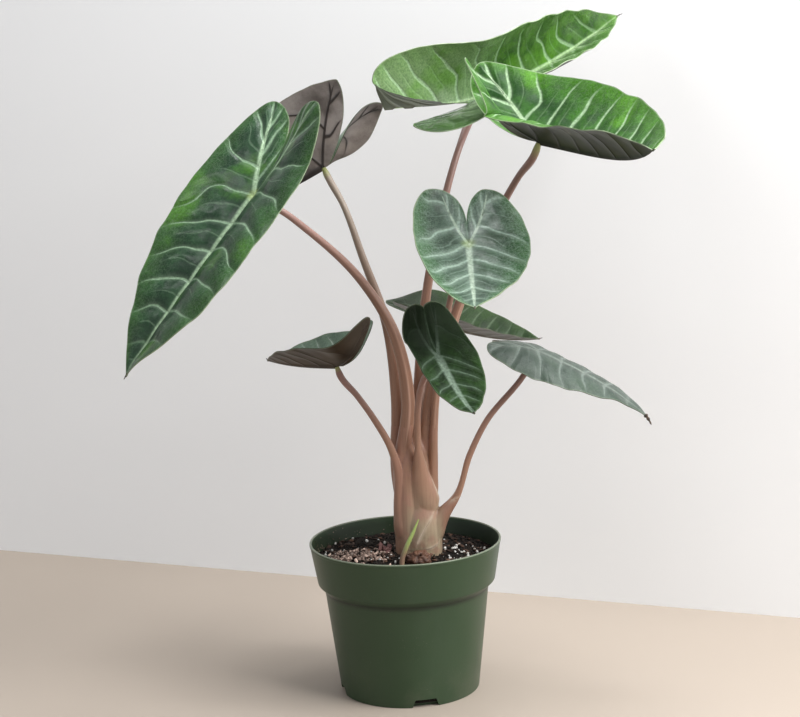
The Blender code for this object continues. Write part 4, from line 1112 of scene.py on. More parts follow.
def rounded(profile, reach):
    """Rounds the inner corners of a profile with short arcs."""
    points = [Vector(point) for point in profile]
    result = [points[0]]
    for before, corner, after in zip(points, points[1:], points[2:]):
        back = min(reach, (before - corner).length / 2.2)
        ahead = min(reach, (after - corner).length / 2.2)
        start = corner + (before - corner).normalized() * back
        end = corner + (after - corner).normalized() * ahead
        for step in range(ROUNDING_STEPS + 1):
            t = step / ROUNDING_STEPS
            result.append(start * (1 - t) ** 2 + corner * 2 * t * (1 - t) + end * t**2)
    result.append(points[-1])
    return [(point.x, point.y) for point in result]


def turn_up(name, profile, steps):
    """Extrudes a ring along a profile of radii and heights, from one closed pole to the other."""
    select_none()
    radius, height = profile[1]
    bpy.ops.mesh.primitive_circle_add(vertices=steps, radius=radius, location=(0.0, 0.0, height))
    item = bpy.context.object
    item.name = name
    item.data.name = name
    apply_place(item)
    edit_all(item)
    for next_radius, next_height in profile[2:-1]:
        bpy.ops.mesh.extrude_edges_move(TRANSFORM_OT_translate=dict(value=(0.0, 0.0, next_height - height)))
        share = next_radius / radius
        bpy.ops.transform.resize(value=(share, share, 1.0), center_override=(0.0, 0.0, 0.0))
        radius, height = next_radius, next_height
    bpy.ops.mesh.select_all(action="DESELECT")
    bpy.ops.mesh.select_non_manifold(extend=False)
    bpy.ops.mesh.edge_face_add()
    bpy.ops.mesh.poke()
    close_edit()
    merge_and_face_out(item)
    return item


def make_pot():
    """The pot: a thin shell with a wide band, a rolled rim, an inner step and drain notches."""
    lip = POT_HEIGHT - RIM_BEAD_DEPTH
    inside = list(reversed(inner_profile()))
    corners = [(0.0, POT_FLOOR), (POLE_RADIUS, POT_FLOOR), *inside]
    corners += [(RIM_RADIUS, POT_HEIGHT), (RIM_RADIUS, lip)]
    corners += [
        (RIM_RADIUS - RIM_BEAD, lip - RIM_BEAD),
        (BAND_FOOT_RADIUS, BAND_FOOT_HEIGHT),
        (BODY_TOP_RADIUS, BODY_TOP_HEIGHT),
        (BASE_RADIUS, 0.0),
        (POLE_RADIUS, 0.0),
        (0.0, 0.0),
    ]
    pot = turn_up("nursery_pot", rounded(corners, POT_ROUNDING), POT_STEPS)
    for angle in NOTCH_ANGLES:
        cutter = make_notch_cutter(math.radians(angle))
        cut = pot.modifiers.new("notch", "BOOLEAN")
        cut.operation = "DIFFERENCE"
        cut.object = cutter
        apply_modifiers(pot)
        bpy.data.objects.remove(cutter, do_unlink=True)
    smooth(pot, 35.0)
    return pot


def make_notch_cutter(angle):
    """A rounded block that narrows upwards, across the foot of the wall. Angle 0 is the front."""
    select_none()
    bpy.ops.mesh.primitive_cube_add(size=1.0)
    cutter = bpy.context.object
    narrow = NOTCH_TOP_WIDTH / NOTCH_WIDTH
    places = corner_places(cutter.data)
    above = places[:, 2] > 0.0
    places[:, 0] *= NOTCH_WIDTH * np.where(above, narrow, 1.0)
    places[:, 1] *= NOTCH_DEPTH
    places[:, 2] = np.where(above, NOTCH_HEIGHT, -NOTCH_HEIGHT)
    move_corners(cutter.data, places)
    bevel = cutter.modifiers.new("rounding", "BEVEL")
    bevel.width = NOTCH_ROUNDING
    bevel.segments = 3
    apply_modifiers(cutter)
    cutter.location = (BASE_RADIUS * math.sin(angle), -BASE_RADIUS * math.cos(angle), 0.0)
    cutter.rotation_euler = (0.0, 0.0, angle)
    return cutter


def soil_height(x, y):
    """The soil's surface: a mound round the stem, a heap at the left, and low clods."""
    edge = wall_radius(SOIL_LEVEL) - SOIL_CLEARANCE
    fade = np.clip((edge - np.hypot(x, y)) / (EDGE_FADE * edge), 0.0, 1.0)
    to_stem = np.hypot(x - STEM_FOOT[0], y - STEM_FOOT[1]) / MOUND_RADIUS
    to_heap = np.hypot(x - HEAP_CENTRE[0], y - HEAP_CENTRE[1]) / HEAP_RADIUS
    waves_along_x = np.sin(2 * math.pi * x / CLODS_ALONG_X[0] + CLODS_ALONG_X[1])
    waves_along_y = np.sin(2 * math.pi * y / CLODS_ALONG_Y[0] + CLODS_ALONG_Y[1])
    relief = MOUND_HEIGHT * np.exp(-to_stem**2) + HEAP_HEIGHT * np.exp(-to_heap**2)
    return SOIL_LEVEL + fade * (relief + CLOD_HEIGHT * waves_along_x * waves_along_y)


def crumb_height(x, y):
    """Small crumbs of soil on top of the soil's surface."""
    place = Vector((x / CRUMB_PITCH, y / CRUMB_PITCH, 0.7))
    return CRUMB_RELIEF * (noise.noise(place) + 0.5 * noise.noise(place * 2.3))


def make_soil():
    """The soil: a filling of the pot whose top is heaped, clodded and crumbly."""
    edge = wall_radius(SOIL_LEVEL) - SOIL_CLEARANCE
    top = [(edge * ring / SOIL_RINGS, SOIL_LEVEL) for ring in range(1, SOIL_RINGS + 1)]
    side = [(radius - SOIL_CLEARANCE, height) for radius, height in inner_profile()[1:3]]
    foot = POT_FLOOR + SOIL_CLEARANCE
    bottom = [(wall_radius(foot) - SOIL_CLEARANCE, foot), (POLE_RADIUS, foot), (0.0, foot)]
    soil = turn_up("potting_mix", [(0.0, SOIL_LEVEL), *top, *side, *bottom], SOIL_STEPS)
    places = corner_places(soil.data)
    surface = places[:, 2] > SOIL_LEVEL - SOIL_CLEARANCE
    places[surface, 2] = soil_height(places[surface, 0], places[surface, 1])
    for corner in np.flatnonzero(surface):
        x, y = places[corner, :2]
        if math.hypot(x, y) < edge * CRUMBS_WITHIN:
            places[corner, 2] += crumb_height(x, y)
    move_corners(soil.data, places)
    smooth(soil, 60.0)
    return soil


def lump(name, detail, size, roughness, seed):
    """One uneven grain of about unit size."""
    select_none()
    bpy.ops.mesh.primitive_ico_sphere_add(subdivisions=detail, radius=1.0)
    item = bpy.context.object
    item.name = name
    places = corner_places(item.data)
    for corner, place in enumerate(places):
        shift = noise.noise(Vector(place) * 1.3 + Vector((seed, 2.0 * seed, 0.5)))
        places[corner] = place * (1.0 + roughness * shift)
    move_corners(item.data, places * np.array(size))
    return item


def chip(name, size, seed):
    """One flat angular chip of bark."""
    select_none()
    bpy.ops.mesh.primitive_cube_add(size=2.0)
    item = bpy.context.object
    item.name = name
    edit_all(item)
    bpy.ops.mesh.subdivide(number_cuts=1)
    close_edit()
    places = corner_places(item.data)
    for corner, place in enumerate(places):
        shift = noise.noise_vector(Vector(place) * 0.9 + Vector((seed, 0.3, seed)))
        places[corner] = place / max(np.linalg.norm(place), 1.0) * 1.15 + 0.45 * np.array(shift)
    move_corners(item.data, places * np.array(size))
    return item


def scatter(name, shapes, spots, sizes, seed, sink=0.3, flat=False):
    """Copies the shapes to the spots on the soil, each turned its own way, as one piece with tints."""
    rng = random.Random(seed)
    work = bmesh.new()
    tints = []
    for x, y, *height in spots:
        shape = rng.choice(shapes).data.copy()
        size = rng.uniform(*sizes)
        turn = (rng.uniform(-0.5, 0.5), rng.uniform(-0.5, 0.5), rng.uniform(0.0, 6.28))
        if not flat:
            turn = (rng.uniform(0.0, 6.28), rng.uniform(0.0, 6.28), rng.uniform(0.0, 6.28))
        turned = Euler(turn).to_matrix().to_4x4() @ Matrix.Diagonal((size, size, size, 1.0))
        shape.transform(turned)
        rise = max(corner.co.z for corner in shape.vertices)
        level = height[0] if height else float(soil_height(x, y)) + rise * (1.0 - 2.0 * sink)
        shape.transform(Matrix.Translation((x, y, level)))
        tints += [rng.random() ** 2.2] * len(shape.vertices)
        work.from_mesh(shape)
        bpy.data.meshes.remove(shape)
    mesh = bpy.data.meshes.new(name)
    work.to_mesh(mesh)
    work.free()
    set_corner_value(mesh, "tint", tints)
    item = bpy.data.objects.new(name, mesh)
    bpy.context.scene.collection.objects.link(item)
    for shape in shapes:
        bpy.data.objects.remove(shape, do_unlink=True)
    smooth(item, 50.0)
    return item


def is_bare(x, y, margin):
    """Whether a spot on the soil is inside the pot and clear of the stem, the corm and the shoot."""
    if math.hypot(x, y) > wall_radius(SOIL_LEVEL) - SOIL_CLEARANCE - margin:
        return False
    if math.hypot(x - STEM_FOOT[0], y - STEM_FOOT[1]) < STEM_KEEP_OUT:
        return False
    if math.hypot((x - CORM_CENTRE[0]) / CORM_KEEP_OUT[0], (y - CORM_CENTRE[1]) / CORM_KEEP_OUT[1]) < 1.0:
        return False
    return math.hypot(x - SHOOT_ROUTE[0][0], y - SHOOT_ROUTE[0][1]) > SHOOT_KEEP_OUT


def spots_all_over(count, seed, margin=0.001):
    """Random spots over the whole soil."""
    rng = random.Random(seed)
    edge = wall_radius(SOIL_LEVEL)
    spots = []
    while len(spots) < count:
        x = rng.uniform(-edge, edge)
        y = rng.uniform(-edge, edge)
        if is_bare(x, y, margin):
            spots.append((x, y))
    return spots


def spots_near(count, seed, centre, spread, margin=0.001):
    """Random spots, thickest at a centre."""
    rng = random.Random(seed)
    spots = []
    while len(spots) < count:
        x = rng.gauss(centre[0], spread[0])
        y = rng.gauss(centre[1], spread[1])
        if is_bare(x, y, margin):
            spots.append((x, y))
    return spots


def spots_on_wall(count, seed):
    """Spots where grains stick to the inside of the pot's wall, above the soil at the left."""
    rng = random.Random(seed)
    spots = []
    for _ in range(count):
        angle = math.radians(rng.gauss(*SPECK_ANGLE))
        height = SOIL_LEVEL + abs(rng.gauss(0.0, SPECK_SPREAD)) + SPECK_FOOT
        radius = wall_radius(height) - SPECK_INSET
        spots.append((radius * math.sin(angle), -radius * math.cos(angle), height))
    return spots


def lay_grains(name, shapes, spots, sizes, seed, material, **how):
    """Scatters one kind of grain, as a piece of its own."""
    place_piece(scatter(name, shapes, spots, sizes, seed, **how), None, material)


def make_grains():
    """What lies on the soil: dark crumbs, bark chips, pink-tan grains on the heap, and perlite."""
    # Noise with a direction starts from the clock unless it has a seed. The chips' shapes come from it.
    noise.seed_set(GRAIN_SEED)
    crumb = grain_material("soil_crumb", (0.004, 0.003, 0.002), (0.030, 0.019, 0.013), 0.85, 700.0, 0.0005)
    bark = grain_material("bark_chip", (0.012, 0.006, 0.004), (0.130, 0.066, 0.040), 0.7, 500.0, 0.0005)
    pink = grain_material("pink_grain", (0.036, 0.014, 0.009), (0.780, 0.580, 0.480), 0.7, 600.0, 0.0005)
    white = grain_material("perlite_grain", (0.520, 0.500, 0.460), (0.860, 0.850, 0.820), 0.75, 650.0, 0.0006)

    shapes = [lump("crumb_shape", 1, (1.0, 0.8, 0.7), 0.7, seed) for seed in (0.3, 1.7, 3.1)]
    lay_grains("soil_crumbs", shapes, spots_all_over(2300, GRAIN_SEED), (0.0005, 0.0017), 1, crumb)

    shapes = [chip("bark_shape", (1.0, 0.55, 0.28), seed) for seed in (0.2, 1.1, 2.4, 3.9)]
    spots = spots_all_over(260, GRAIN_SEED + 1) + spots_near(90, 21, HEAP_CENTRE, (0.020, 0.016))
    lay_grains("bark_chips", shapes, spots, (0.0011, 0.0034), 2, bark, sink=0.2, flat=True)

    shapes = [lump("pink_shape", 1, (1.0, 0.75, 0.6), 0.8, seed) for seed in (0.9, 2.2, 4.6)]
    shapes += [chip("shard_shape", (1.1, 0.6, 0.35), seed) for seed in (5.1, 6.3)]
    spots = spots_near(190, 22, (-0.043, -0.016), (0.012, 0.011))
    spots += spots_near(45, 23, (-0.022, -0.010), (0.010, 0.012))
    lay_grains("pink_grains", shapes, spots, (0.0006, 0.0021), 3, pink, sink=0.10)

    shapes = [lump("perlite_shape", 2, (1.0, 0.85, 0.8), 0.6, seed) for seed in (1.3, 2.9)]
    spots = spots_near(46, 24, (0.046, -0.006), (0.014, 0.018)) + spots_all_over(50, GRAIN_SEED + 2)
    spots += spots_near(26, 25, (-0.040, -0.010), (0.018, 0.016))
    lay_grains("perlite_grains", shapes, spots, (0.0004, 0.0015), 4, white, sink=0.15)

    shard = grain_material("pink_shard", (0.110, 0.042, 0.040), (0.420, 0.230, 0.210), 0.6, 260.0, 0.0006)
    shapes = [chip("shard_shape", (1.1, 0.55, 0.30), seed) for seed in (7.4, 8.8)]
    spots = spots_near(5, 44, (-0.017, -0.005), (0.004, 0.003))
    lay_grains("pink_shards", shapes, spots, (0.0030, 0.0046), 6, shard, sink=0.1)

    shapes = [lump("speck_shape", 1, (1.0, 0.8, 0.6), 0.6, seed) for seed in (0.4, 3.3)]
    lay_grains("wall_specks", shapes, spots_on_wall(110, 32), (0.0002, 0.0006), 5, pink)


def smooth_route(route, count):
    """Points and radii at even steps along a smooth curve through a route."""
    route = np.array(route)
    lengths = np.linalg.norm(np.diff(route[:, :3], axis=0), axis=1)
    at = np.concatenate([[0.0], np.cumsum(lengths)])
    slopes = np.gradient(route, at, axis=0)
    wanted = np.linspace(0.0, at[-1], count)
    span = np.clip(np.searchsorted(at, wanted, side="right") - 1, 0, len(lengths) - 1)
    size = lengths[span][:, None]
    t = (wanted - at[span])[:, None] / size
    start = route[span] * (1 + 2 * t) * (1 - t) ** 2 + slopes[span] * size * t * (1 - t) ** 2
    end = route[span + 1] * t**2 * (3 - 2 * t) + slopes[span + 1] * size * t**2 * (t - 1)
    return start + end


def ring_frames(points):
    """Two cross directions at each point of a route, carried along it without twist from the front."""
    steps = np.gradient(points[:, :3], axis=0)
    steps /= np.linalg.norm(steps, axis=1)[:, None]
    front = np.array([0.0, -1.0, 0.0])
    fronts = []
    for step in steps:
        front = front - step * front.dot(step)
        front = front / np.linalg.norm(front)
        fronts.append(front)
    fronts = np.array(fronts)
    return fronts, np.cross(steps, fronts)


def wrap_round(name, points, sides, section=None):
    """Wraps a grid round a route of x, y, z and radius. section scales the radius by angle and share."""
    select_none()
    bpy.ops.mesh.primitive_grid_add(x_subdivisions=sides, y_subdivisions=len(points) - 1, size=2.0)
    item = bpy.context.object
    item.name = name
    item.data.name = name
    flat = corner_places(item.data)
    column = (flat[:, 0] + 1.0) / 2
    share = (flat[:, 1] + 1.0) / 2
    at = np.rint(share * (len(points) - 1)).astype(int)
    angle = column * 2 * math.pi
    fronts, rights = ring_frames(points)
    scale, ridge = section(angle, share) if section else (1.0, 0.0)
    radius = points[at, 3] * scale
    out = fronts[at] * np.cos(angle)[:, None] + rights[at] * np.sin(angle)[:, None]
    move_corners(item.data, points[at, :3] + out * radius[:, None])
    set_corner_value(item.data, "along", share)
    set_corner_value(item.data, "ridge", np.broadcast_to(ridge, share.shape))
    set_flat_map(item.data, "flat", np.column_stack([column, share]))
    edit_all(item)
    bpy.ops.mesh.remove_doubles(threshold=MERGE_DISTANCE / 4)
    bpy.ops.mesh.select_all(action="DESELECT")
    bpy.ops.mesh.select_non_manifold(extend=False)
    bpy.ops.mesh.fill_holes(sides=0)
    bpy.ops.mesh.select_all(action="SELECT")
    bpy.ops.mesh.normals_make_consistent(inside=False)
    close_edit()
    smooth(item, 70.0)
    return item


def leaf_axes(leaf):
    """Unit vectors of a leaf: along the midrib to the tip, to its left, and up from its upper face."""
    heading, pitch, roll = np.radians([leaf["heading"], leaf["pitch"], leaf["roll"]])
    ahead = np.array([math.cos(heading), math.sin(heading), 0.0])
    upright = np.array([0.0, 0.0, 1.0])
    forward = ahead * math.cos(pitch) + upright * math.sin(pitch)
    level_up = upright * math.cos(pitch) - ahead * math.sin(pitch)
    level_left = np.cross(level_up, forward)
    up = level_up * math.cos(roll) + level_left * math.sin(roll)
    return forward, np.cross(up, forward), up


def flat_leaf(leaf, side, station, row):
    """A point of the flat blade: station runs from 0 at the tip to 1 at the notch, row from rib to margin."""
    tip, lobe, half = leaf["tip"], leaf["lobe"], leaf["half"]
    middle = leaf["lobe_middle"][side] * half
    notch = leaf["sinus"] * lobe
    midrib, lobe_columns = leaf["grid"]["midrib"], leaf["grid"]["lobe"]
    column = station * (midrib + 2 * lobe_columns)
    along = np.clip(column / midrib, 0.0, 1.0)
    round_lobe = np.clip((column - midrib) / lobe_columns, 0.0, 1.0)
    inwards = np.clip((column - midrib - lobe_columns) / lobe_columns, 0.0, 1.0)

    # Where the vein leaves the midrib or the lobe's own rib.
    out_along_rib = round_lobe - inwards
    root_x = tip * (1.0 - along) - RIB_SHARE * lobe * out_along_rib
    root_y = leaf["rib_reach"][side] * middle * out_along_rib * (1.0 + LOBE_RIB_BOW * (1.0 - out_along_rib))

    # Where it ends: the long margin, the shoulder, the back of the lobe, and the notch.
    shoulder = np.clip(round_lobe / SHOULDER_SHARE, 0.0, 1.0)
    share = (1.0 - along * (1.0 - VEIN_SLANT)) * (1.0 - shoulder)
    turn = np.clip((round_lobe - SHOULDER_SHARE) / (1.0 - SHOULDER_SHARE), 0.0, 1.0) * math.pi / 2
    back_turn = inwards * math.pi / 2
    edge_x = tip * share - lobe * np.sin(turn)
    edge_y = np.where(
        turn > 0.0,
        middle + (half - middle) * np.maximum(np.cos(turn), 0.0) ** LOBE_ROUNDING,
        half * (1.0 - share ** leaf["fullness"][side]),
    )
    edge_x = np.where(inwards > 0.0, -notch - (lobe - notch) * np.cos(back_turn), edge_x)
    inner_y = middle * np.maximum(1.0 - np.sin(back_turn), 0.0) ** leaf["notch_power"]
    edge_y = np.where(inwards > 0.0, inner_y, edge_y)

    arch = VEIN_ARCH * row * (1.0 - row) * np.hypot(edge_x - root_x, edge_y - root_y)
    x = root_x + (edge_x - root_x) * row - arch * np.where(along < 1.0, along, 1.0 - out_along_rib)
    y = root_y + (edge_y - root_y) * row
    return x, np.maximum(y, 0.0)


def bend(share, angle, ramp_up):
    """Runs along a line whose slope grows to angle: how far along, how far across, and the slope."""
    steps = np.linspace(0.0, BEND_END, BEND_STEPS)
    slopes = angle * ramp_up(steps)
    middles = (slopes[1:] + slopes[:-1]) / 2
    stride = steps[1]
    along = np.concatenate([[0.0], np.cumsum(np.cos(middles) * stride)])
    across = np.concatenate([[0.0], np.cumsum(np.sin(middles) * stride)])
    return np.interp(share, steps, along), np.interp(share, steps, across), angle * ramp_up(share)


def bend_lobes(share, angle):
    """The bend of a lobe, which grows quickly from its start and then holds."""
    return bend(
        share, math.radians(angle), lambda s: np.sin(math.pi / 2 * np.minimum(s * LOBE_BEND_REACH, 1.0)))


def blade_point(leaf, side, x, y, relief):
    """Carries a point of the flat blade to its place: side 0 is the left half and 1 the right."""
    tip, lobe, half = leaf["tip"], leaf["lobe"], leaf["half"]
    bend_start = LOBE_BEND_START * lobe
    bend_reach = lobe - bend_start
    sign = 1.0 if side == 0 else -1.0

    # The half is folded up from the midrib and curls on towards its margin.
    behind = np.clip(-x / lobe, 0.0, 1.0)
    fold = np.radians(leaf["fold"][side] + leaf["lobe_fold"][side] * behind**2 * (3 - 2 * behind))
    turn = math.radians(leaf["curl"][side]) * y / half / 2
    chord = y * np.sinc(turn / math.pi)
    across = chord * np.cos(fold + turn)
    rise = chord * np.sin(fold + turn) + relief

    # The lobes bend down from the notch backwards, and the blade droops towards its tip. Lobes that are
    # joined over a part of the half width share one bend where they meet.
    back = np.clip((-x - bend_start) / bend_reach, 0.0, BEND_END)
    back_run, back_drop, back_slope = bend_lobes(back, leaf["lobe_bend"][side])
    if leaf["joined"] > 0.0:
        apart = np.clip(y / (leaf["joined"] * half), 0.0, 1.0)
        shared = bend_lobes(back, sum(leaf["lobe_bend"]) / 2)
        back_run = shared[0] + (back_run - shared[0]) * apart
        back_drop = shared[1] + (back_drop - shared[1]) * apart
        back_slope = shared[2] + (back_slope - shared[2]) * apart
    fore_run, fore_drop, fore_slope = bend(
        np.clip(x / tip, 0.0, BEND_END), math.radians(leaf["droop"]), lambda s: s ** leaf["droop_power"])
    behind_run = -bend_start - back_run * bend_reach
    along = np.where(x > 0.0, fore_run * tip, np.where(x < -bend_start, behind_run, x))
    drop = fore_drop * tip + back_drop * bend_reach
    slope = fore_slope - back_slope
    along = along + rise * np.sin(slope)
    height = rise * np.cos(slope) - drop

    # The midrib sways sideways.
    fore = np.clip(along / tip, 0.0, BEND_END)
    sway_run, sway_out, sway_slope = bend(fore, math.radians(leaf["sway"]), lambda s: s)
    lateral = sign * across
    forward_part = np.where(along > 0.0, sway_run * tip - lateral * np.sin(sway_slope), along)
    left_part = sway_out * tip + lateral * np.cos(sway_slope)

    forward, left, up = leaf_axes(leaf)
    place = np.outer(forward_part, forward) + np.outer(left_part, left) + np.outer(height, up)
    return np.array(leaf["at"]) + place


def vein_number(leaf, course, side, station, row):
    """A number that is whole on each lateral vein."""
    midrib, lobe_columns = leaf["grid"]["midrib"], leaf["grid"]["lobe"]
    column = station * (midrib + 2 * lobe_columns)
    on_lobe = np.clip((column - midrib) / lobe_columns, 0.0, 2.0)
    on_midrib = np.clip(column / midrib, 0.0, 1.0)
    towards_tip = course["lean"][side] * row + course["arch"][side] * row**2
    towards_tip *= np.clip(1.0 - on_lobe, 0.0, 1.0) * np.clip(on_midrib * LEAN_FADE, 0.0, 1.0)
    backwards = course["back"][side] * row * np.sin(math.pi * on_lobe)
    return course["count"] * on_midrib + course["lobe"] * on_lobe + towards_tip - backwards


def vein_gaps(leaf, course, side, station, row):
    """How far apart the veins lie on the flat blade, from the slope of their numbers."""
    along = np.where(station > 0.5, -SLOPE_STEP, SLOPE_STEP)
    out = np.where(row > 0.5, -SLOPE_STEP, SLOPE_STEP)
    here = np.array([*flat_leaf(leaf, side, station, row), vein_number(leaf, course, side, station, row)])
    beside = np.array([
        *flat_leaf(leaf, side, station + along, row), vein_number(leaf, course, side, station + along, row)])
    outside = np.array([
        *flat_leaf(leaf, side, station, row + out), vein_number(leaf, course, side, station, row + out)])
    x_along, y_along, number_along = (beside - here) / along
    x_out, y_out, number_out = (outside - here) / out
    area = np.abs(x_along * y_out - x_out * y_along)
    slope = np.hypot(number_along * y_out - number_out * y_along, number_out * x_along - number_along * x_out)
    return np.clip(area / np.maximum(slope, 1e-9), NARROWEST_GAP, WIDEST_GAP)


def vein_wander(leaf, side, x, y, row):
    """How far the veins wander from their course, counted in veins."""
    spots = np.column_stack([x, y if side == 0 else -y]) / WANDER_PITCH
    drift = np.array([noise.noise(Vector((a, b, leaf["tip"] * 50.0))) for a, b in spots])
    return VEIN_WANDER * drift * np.clip(row * 3.0, 0.0, 1.0)


def uneven_margin(leaf, side, x, y, row):
    """How far the blade reaches out beyond its smooth outline, or stays inside it."""
    spots = np.column_stack([x, np.full_like(x, side * 5.0)]) / UNEVEN_PITCH
    drift = np.array([noise.noise(Vector((a, b, leaf["half"] * 90.0))) for a, b in spots])
    return leaf["uneven"] * drift * row**3 * np.clip(y / 0.012, 0.0, 1.0)


def rib_and_edge(leaf, side, station, row):
    """On the flat blade, how far a point is from its rib and from the margin."""
    side_columns = leaf["grid"]["midrib"] + 2 * leaf["grid"]["lobe"]
    x, y = flat_leaf(leaf, side, station, row)
    rib_x, rib_y = flat_leaf(leaf, side, station, np.zeros_like(row))
    edge_x, edge_y = flat_leaf(leaf, side, station, np.ones_like(row))
    on_midrib = station * side_columns <= leaf["grid"]["midrib"]
    to_rib = np.where(on_midrib, y, 0.85 * np.hypot(x - rib_x, y - rib_y))
    return to_rib, np.hypot(x - edge_x, y - edge_y)


def blade_relief(leaf, side, station, row, x, y, number, to_vein, to_rib, rib_size):
    """How the blade rises between its veins, sinks at them, puckers, and waves at its margin."""
    between_veins = np.sin(number * math.pi) ** 2 * np.sin(row * math.pi) ** BULGE_POWER
    fade = np.clip((leaf["tip"] - x) / (TIP_FADE * leaf["tip"]), 0.0, 1.0)
    inner = np.clip((station - 1.0 + NOTCH_FADE) / NOTCH_FADE, 0.0, 1.0)
    phase = 2 * math.pi * leaf["waves"] * station + WAVE_SHIFT * side
    wave = WAVE_SHARE * np.sin(phase) * row**3 + RIPPLE_SHARE * np.sin(2.7 * phase + 1.3) * row**6
    relief = leaf["vein_relief"] * between_veins * (1.0 - inner) + leaf["wave"] * wave * fade * (1.0 - inner)
    grooves = GROOVE_DEPTH * leaf["vein_relief"] / FULL_RELIEF * np.exp(-((to_vein / GROOVE_WIDTH) ** 2))
    grooves = grooves * np.sin(row * math.pi) ** 0.5
    channel = CHANNEL_DEPTH * rib_size * np.exp(-((to_rib / CHANNEL_WIDTH) ** 2))
    spots = np.column_stack([x, y if side == 0 else -y]) / PUCKER_PITCH
    puckers = np.array([noise.noise(Vector((a, b, leaf["tip"] * 100.0))) for a, b in spots])
    puckers *= PUCKER_HEIGHT * np.sin(row * math.pi) * np.clip(y / 0.01, 0.0, 1.0)
    return relief - (grooves + channel) * (1.0 - inner) + puckers


def make_blade(name, leaf, materials):
    """A leaf blade: a fine grid bent to the leaf's form, with its veins' relief and ribs below."""
    course = VEIN_COURSES[name]
    side_columns = leaf["grid"]["midrib"] + 2 * leaf["grid"]["lobe"]
    select_none()
    bpy.ops.mesh.primitive_grid_add(
        x_subdivisions=2 * side_columns * FINE_COLUMNS, y_subdivisions=leaf["grid"]["rows"], size=2.0)
    blade = bpy.context.object
    blade.name = name + "_leaf"
    blade.data.name = blade.name
    for material in materials:
        blade.data.materials.append(material)
    grid = corner_places(blade.data)
    rows = (grid[:, 1] + 1.0) / 2
    left_half = grid[:, 0] <= MERGE_DISTANCE
    places = np.zeros_like(grid)
    flat = np.zeros((len(grid), 2))
    labels = ("vein", "gap", "to_rib", "to_edge", "rib_size", "to_seat", "tipward")
    values = {label: np.zeros(len(grid)) for label in labels}
    off_laterals = np.zeros(len(grid))
    for side, chosen in enumerate((left_half, ~left_half)):
        station, row = np.abs(grid[chosen, 0]), rows[chosen]
        x, y = flat_leaf(leaf, side, station, row)
        y = y + uneven_margin(leaf, side, x, y, row)
        to_rib, to_edge = rib_and_edge(leaf, side, station, row)
        number = vein_number(leaf, course, side, station, row) + vein_wander(leaf, side, x, y, row)
        gap = vein_gaps(leaf, course, side, station, row)
        to_vein = np.abs(number - np.rint(number)) * gap
        column = station * side_columns
        midrib, lobe_columns = leaf["grid"]["midrib"], leaf["grid"]["lobe"]
        on_lobe = np.clip((side_columns - column) / lobe_columns, 0.0, 1.0)
        on_lobe = np.minimum(on_lobe, np.clip((column - midrib) / lobe_columns, 0.0, 1.0))
        rib_size = np.where(column <= midrib, column / midrib, LOBE_RIB_SIZE * (1.0 - on_lobe))
        relief = blade_relief(leaf, side, station, row, x, y, number, to_vein, to_rib, rib_size)
        places[chosen] = blade_point(leaf, side, x, y, relief)
        flat[chosen] = np.column_stack([x, y if side == 0 else -y])
        off_laterals[chosen] = to_vein
        tipward = np.clip(x / leaf["tip"], 0.0, 1.0)
        found = (number, gap, to_rib, to_edge, rib_size, np.hypot(x, y), tipward)
        for label, numbers in zip(labels, found):
            values[label][chosen] = numbers
    move_corners(blade.data, places)
    for label, numbers in values.items():
        set_corner_value(blade.data, label, numbers)
    set_corner_value(blade.data, "row", rows)
    set_flat_map(blade.data, "flat", flat)

    # The ribs below are thicker than the blade.
    ribs = values["rib_size"] * np.exp(-((values["to_rib"] / RIB_SPREAD) ** 2))
    laterals = LATERAL_SHARE * (1.0 - rows) * np.exp(-((off_laterals / LATERAL_SPREAD) ** 2))
    thicker = np.clip(np.maximum(ribs, laterals), 0.0, 1.0)
    group = blade.vertex_groups.new(name="ribs")
    for corner, weight in enumerate(thicker):
        if weight > 0.01:
            group.add([corner], float(weight), "REPLACE")
    edit_all(blade)
    bpy.ops.mesh.remove_doubles(threshold=MERGE_DISTANCE)
    close_edit()
    solidify = blade.modifiers.new("thickness", "SOLIDIFY")
    solidify.thickness = RIB_THICKNESS
    solidify.offset = -1.0
    solidify.vertex_group = "ribs"
    solidify.thickness_vertex_group = BLADE_THICKNESS / RIB_THICKNESS
    solidify.material_offset = 1
    solidify.material_offset_rim = 2
    apply_modifiers(blade)
    blade.vertex_groups.clear()
    smooth(blade, 60.0)
    return blade


def tip_place(leaf, beyond):
    """A place on the line of the midrib, some way beyond the tip."""
    ends = np.array([leaf["tip"] * 0.985, leaf["tip"]])
    before, end = blade_point(leaf, 0, ends, np.zeros(2), np.zeros(2))
    ahead = (end - before) / np.linalg.norm(end - before)
    return end + ahead * beyond, ahead


def make_dried_tips():
    """The thin dried tails of the leaf tips, each a short tapered curl."""
    tips = []
    for name, length, (aside, down), radius in DRIED_TIPS:
        start, ahead = tip_place(LEAVES[name], -TIP_OVERLAP)
        side = np.cross(ahead, (0.0, 0.0, 1.0))
        side /= max(np.linalg.norm(side), 0.1)
        shares = np.linspace(0.0, 1.0, 14)
        points = start + np.outer(shares * (length + TIP_OVERLAP), ahead)
        points += np.outer(shares**2 * aside, side) + np.outer(shares**2 * down, (0.0, 0.0, 1.0))
        radii = radius * (1.0 - shares) ** 0.6 * (0.7 + 0.6 * np.sin(shares * 9.0) ** 2) + 0.00012
        tips.append(wrap_round("tip_" + name, np.column_stack([points, radii]), 10))
    return join(tips, "dried_leaf_tips")


def seat_direction(leaf, approach):
    """Halfway between a stalk's approach and the open side under the keel of a folded blade."""
    left, up = leaf_axes(leaf)[1:]
    lean = math.radians(leaf["fold"][0] - leaf["fold"][1]) / 2
    direction = up * math.cos(lean) - left * math.sin(lean) + approach / np.linalg.norm(approach)
    return direction / np.linalg.norm(direction)


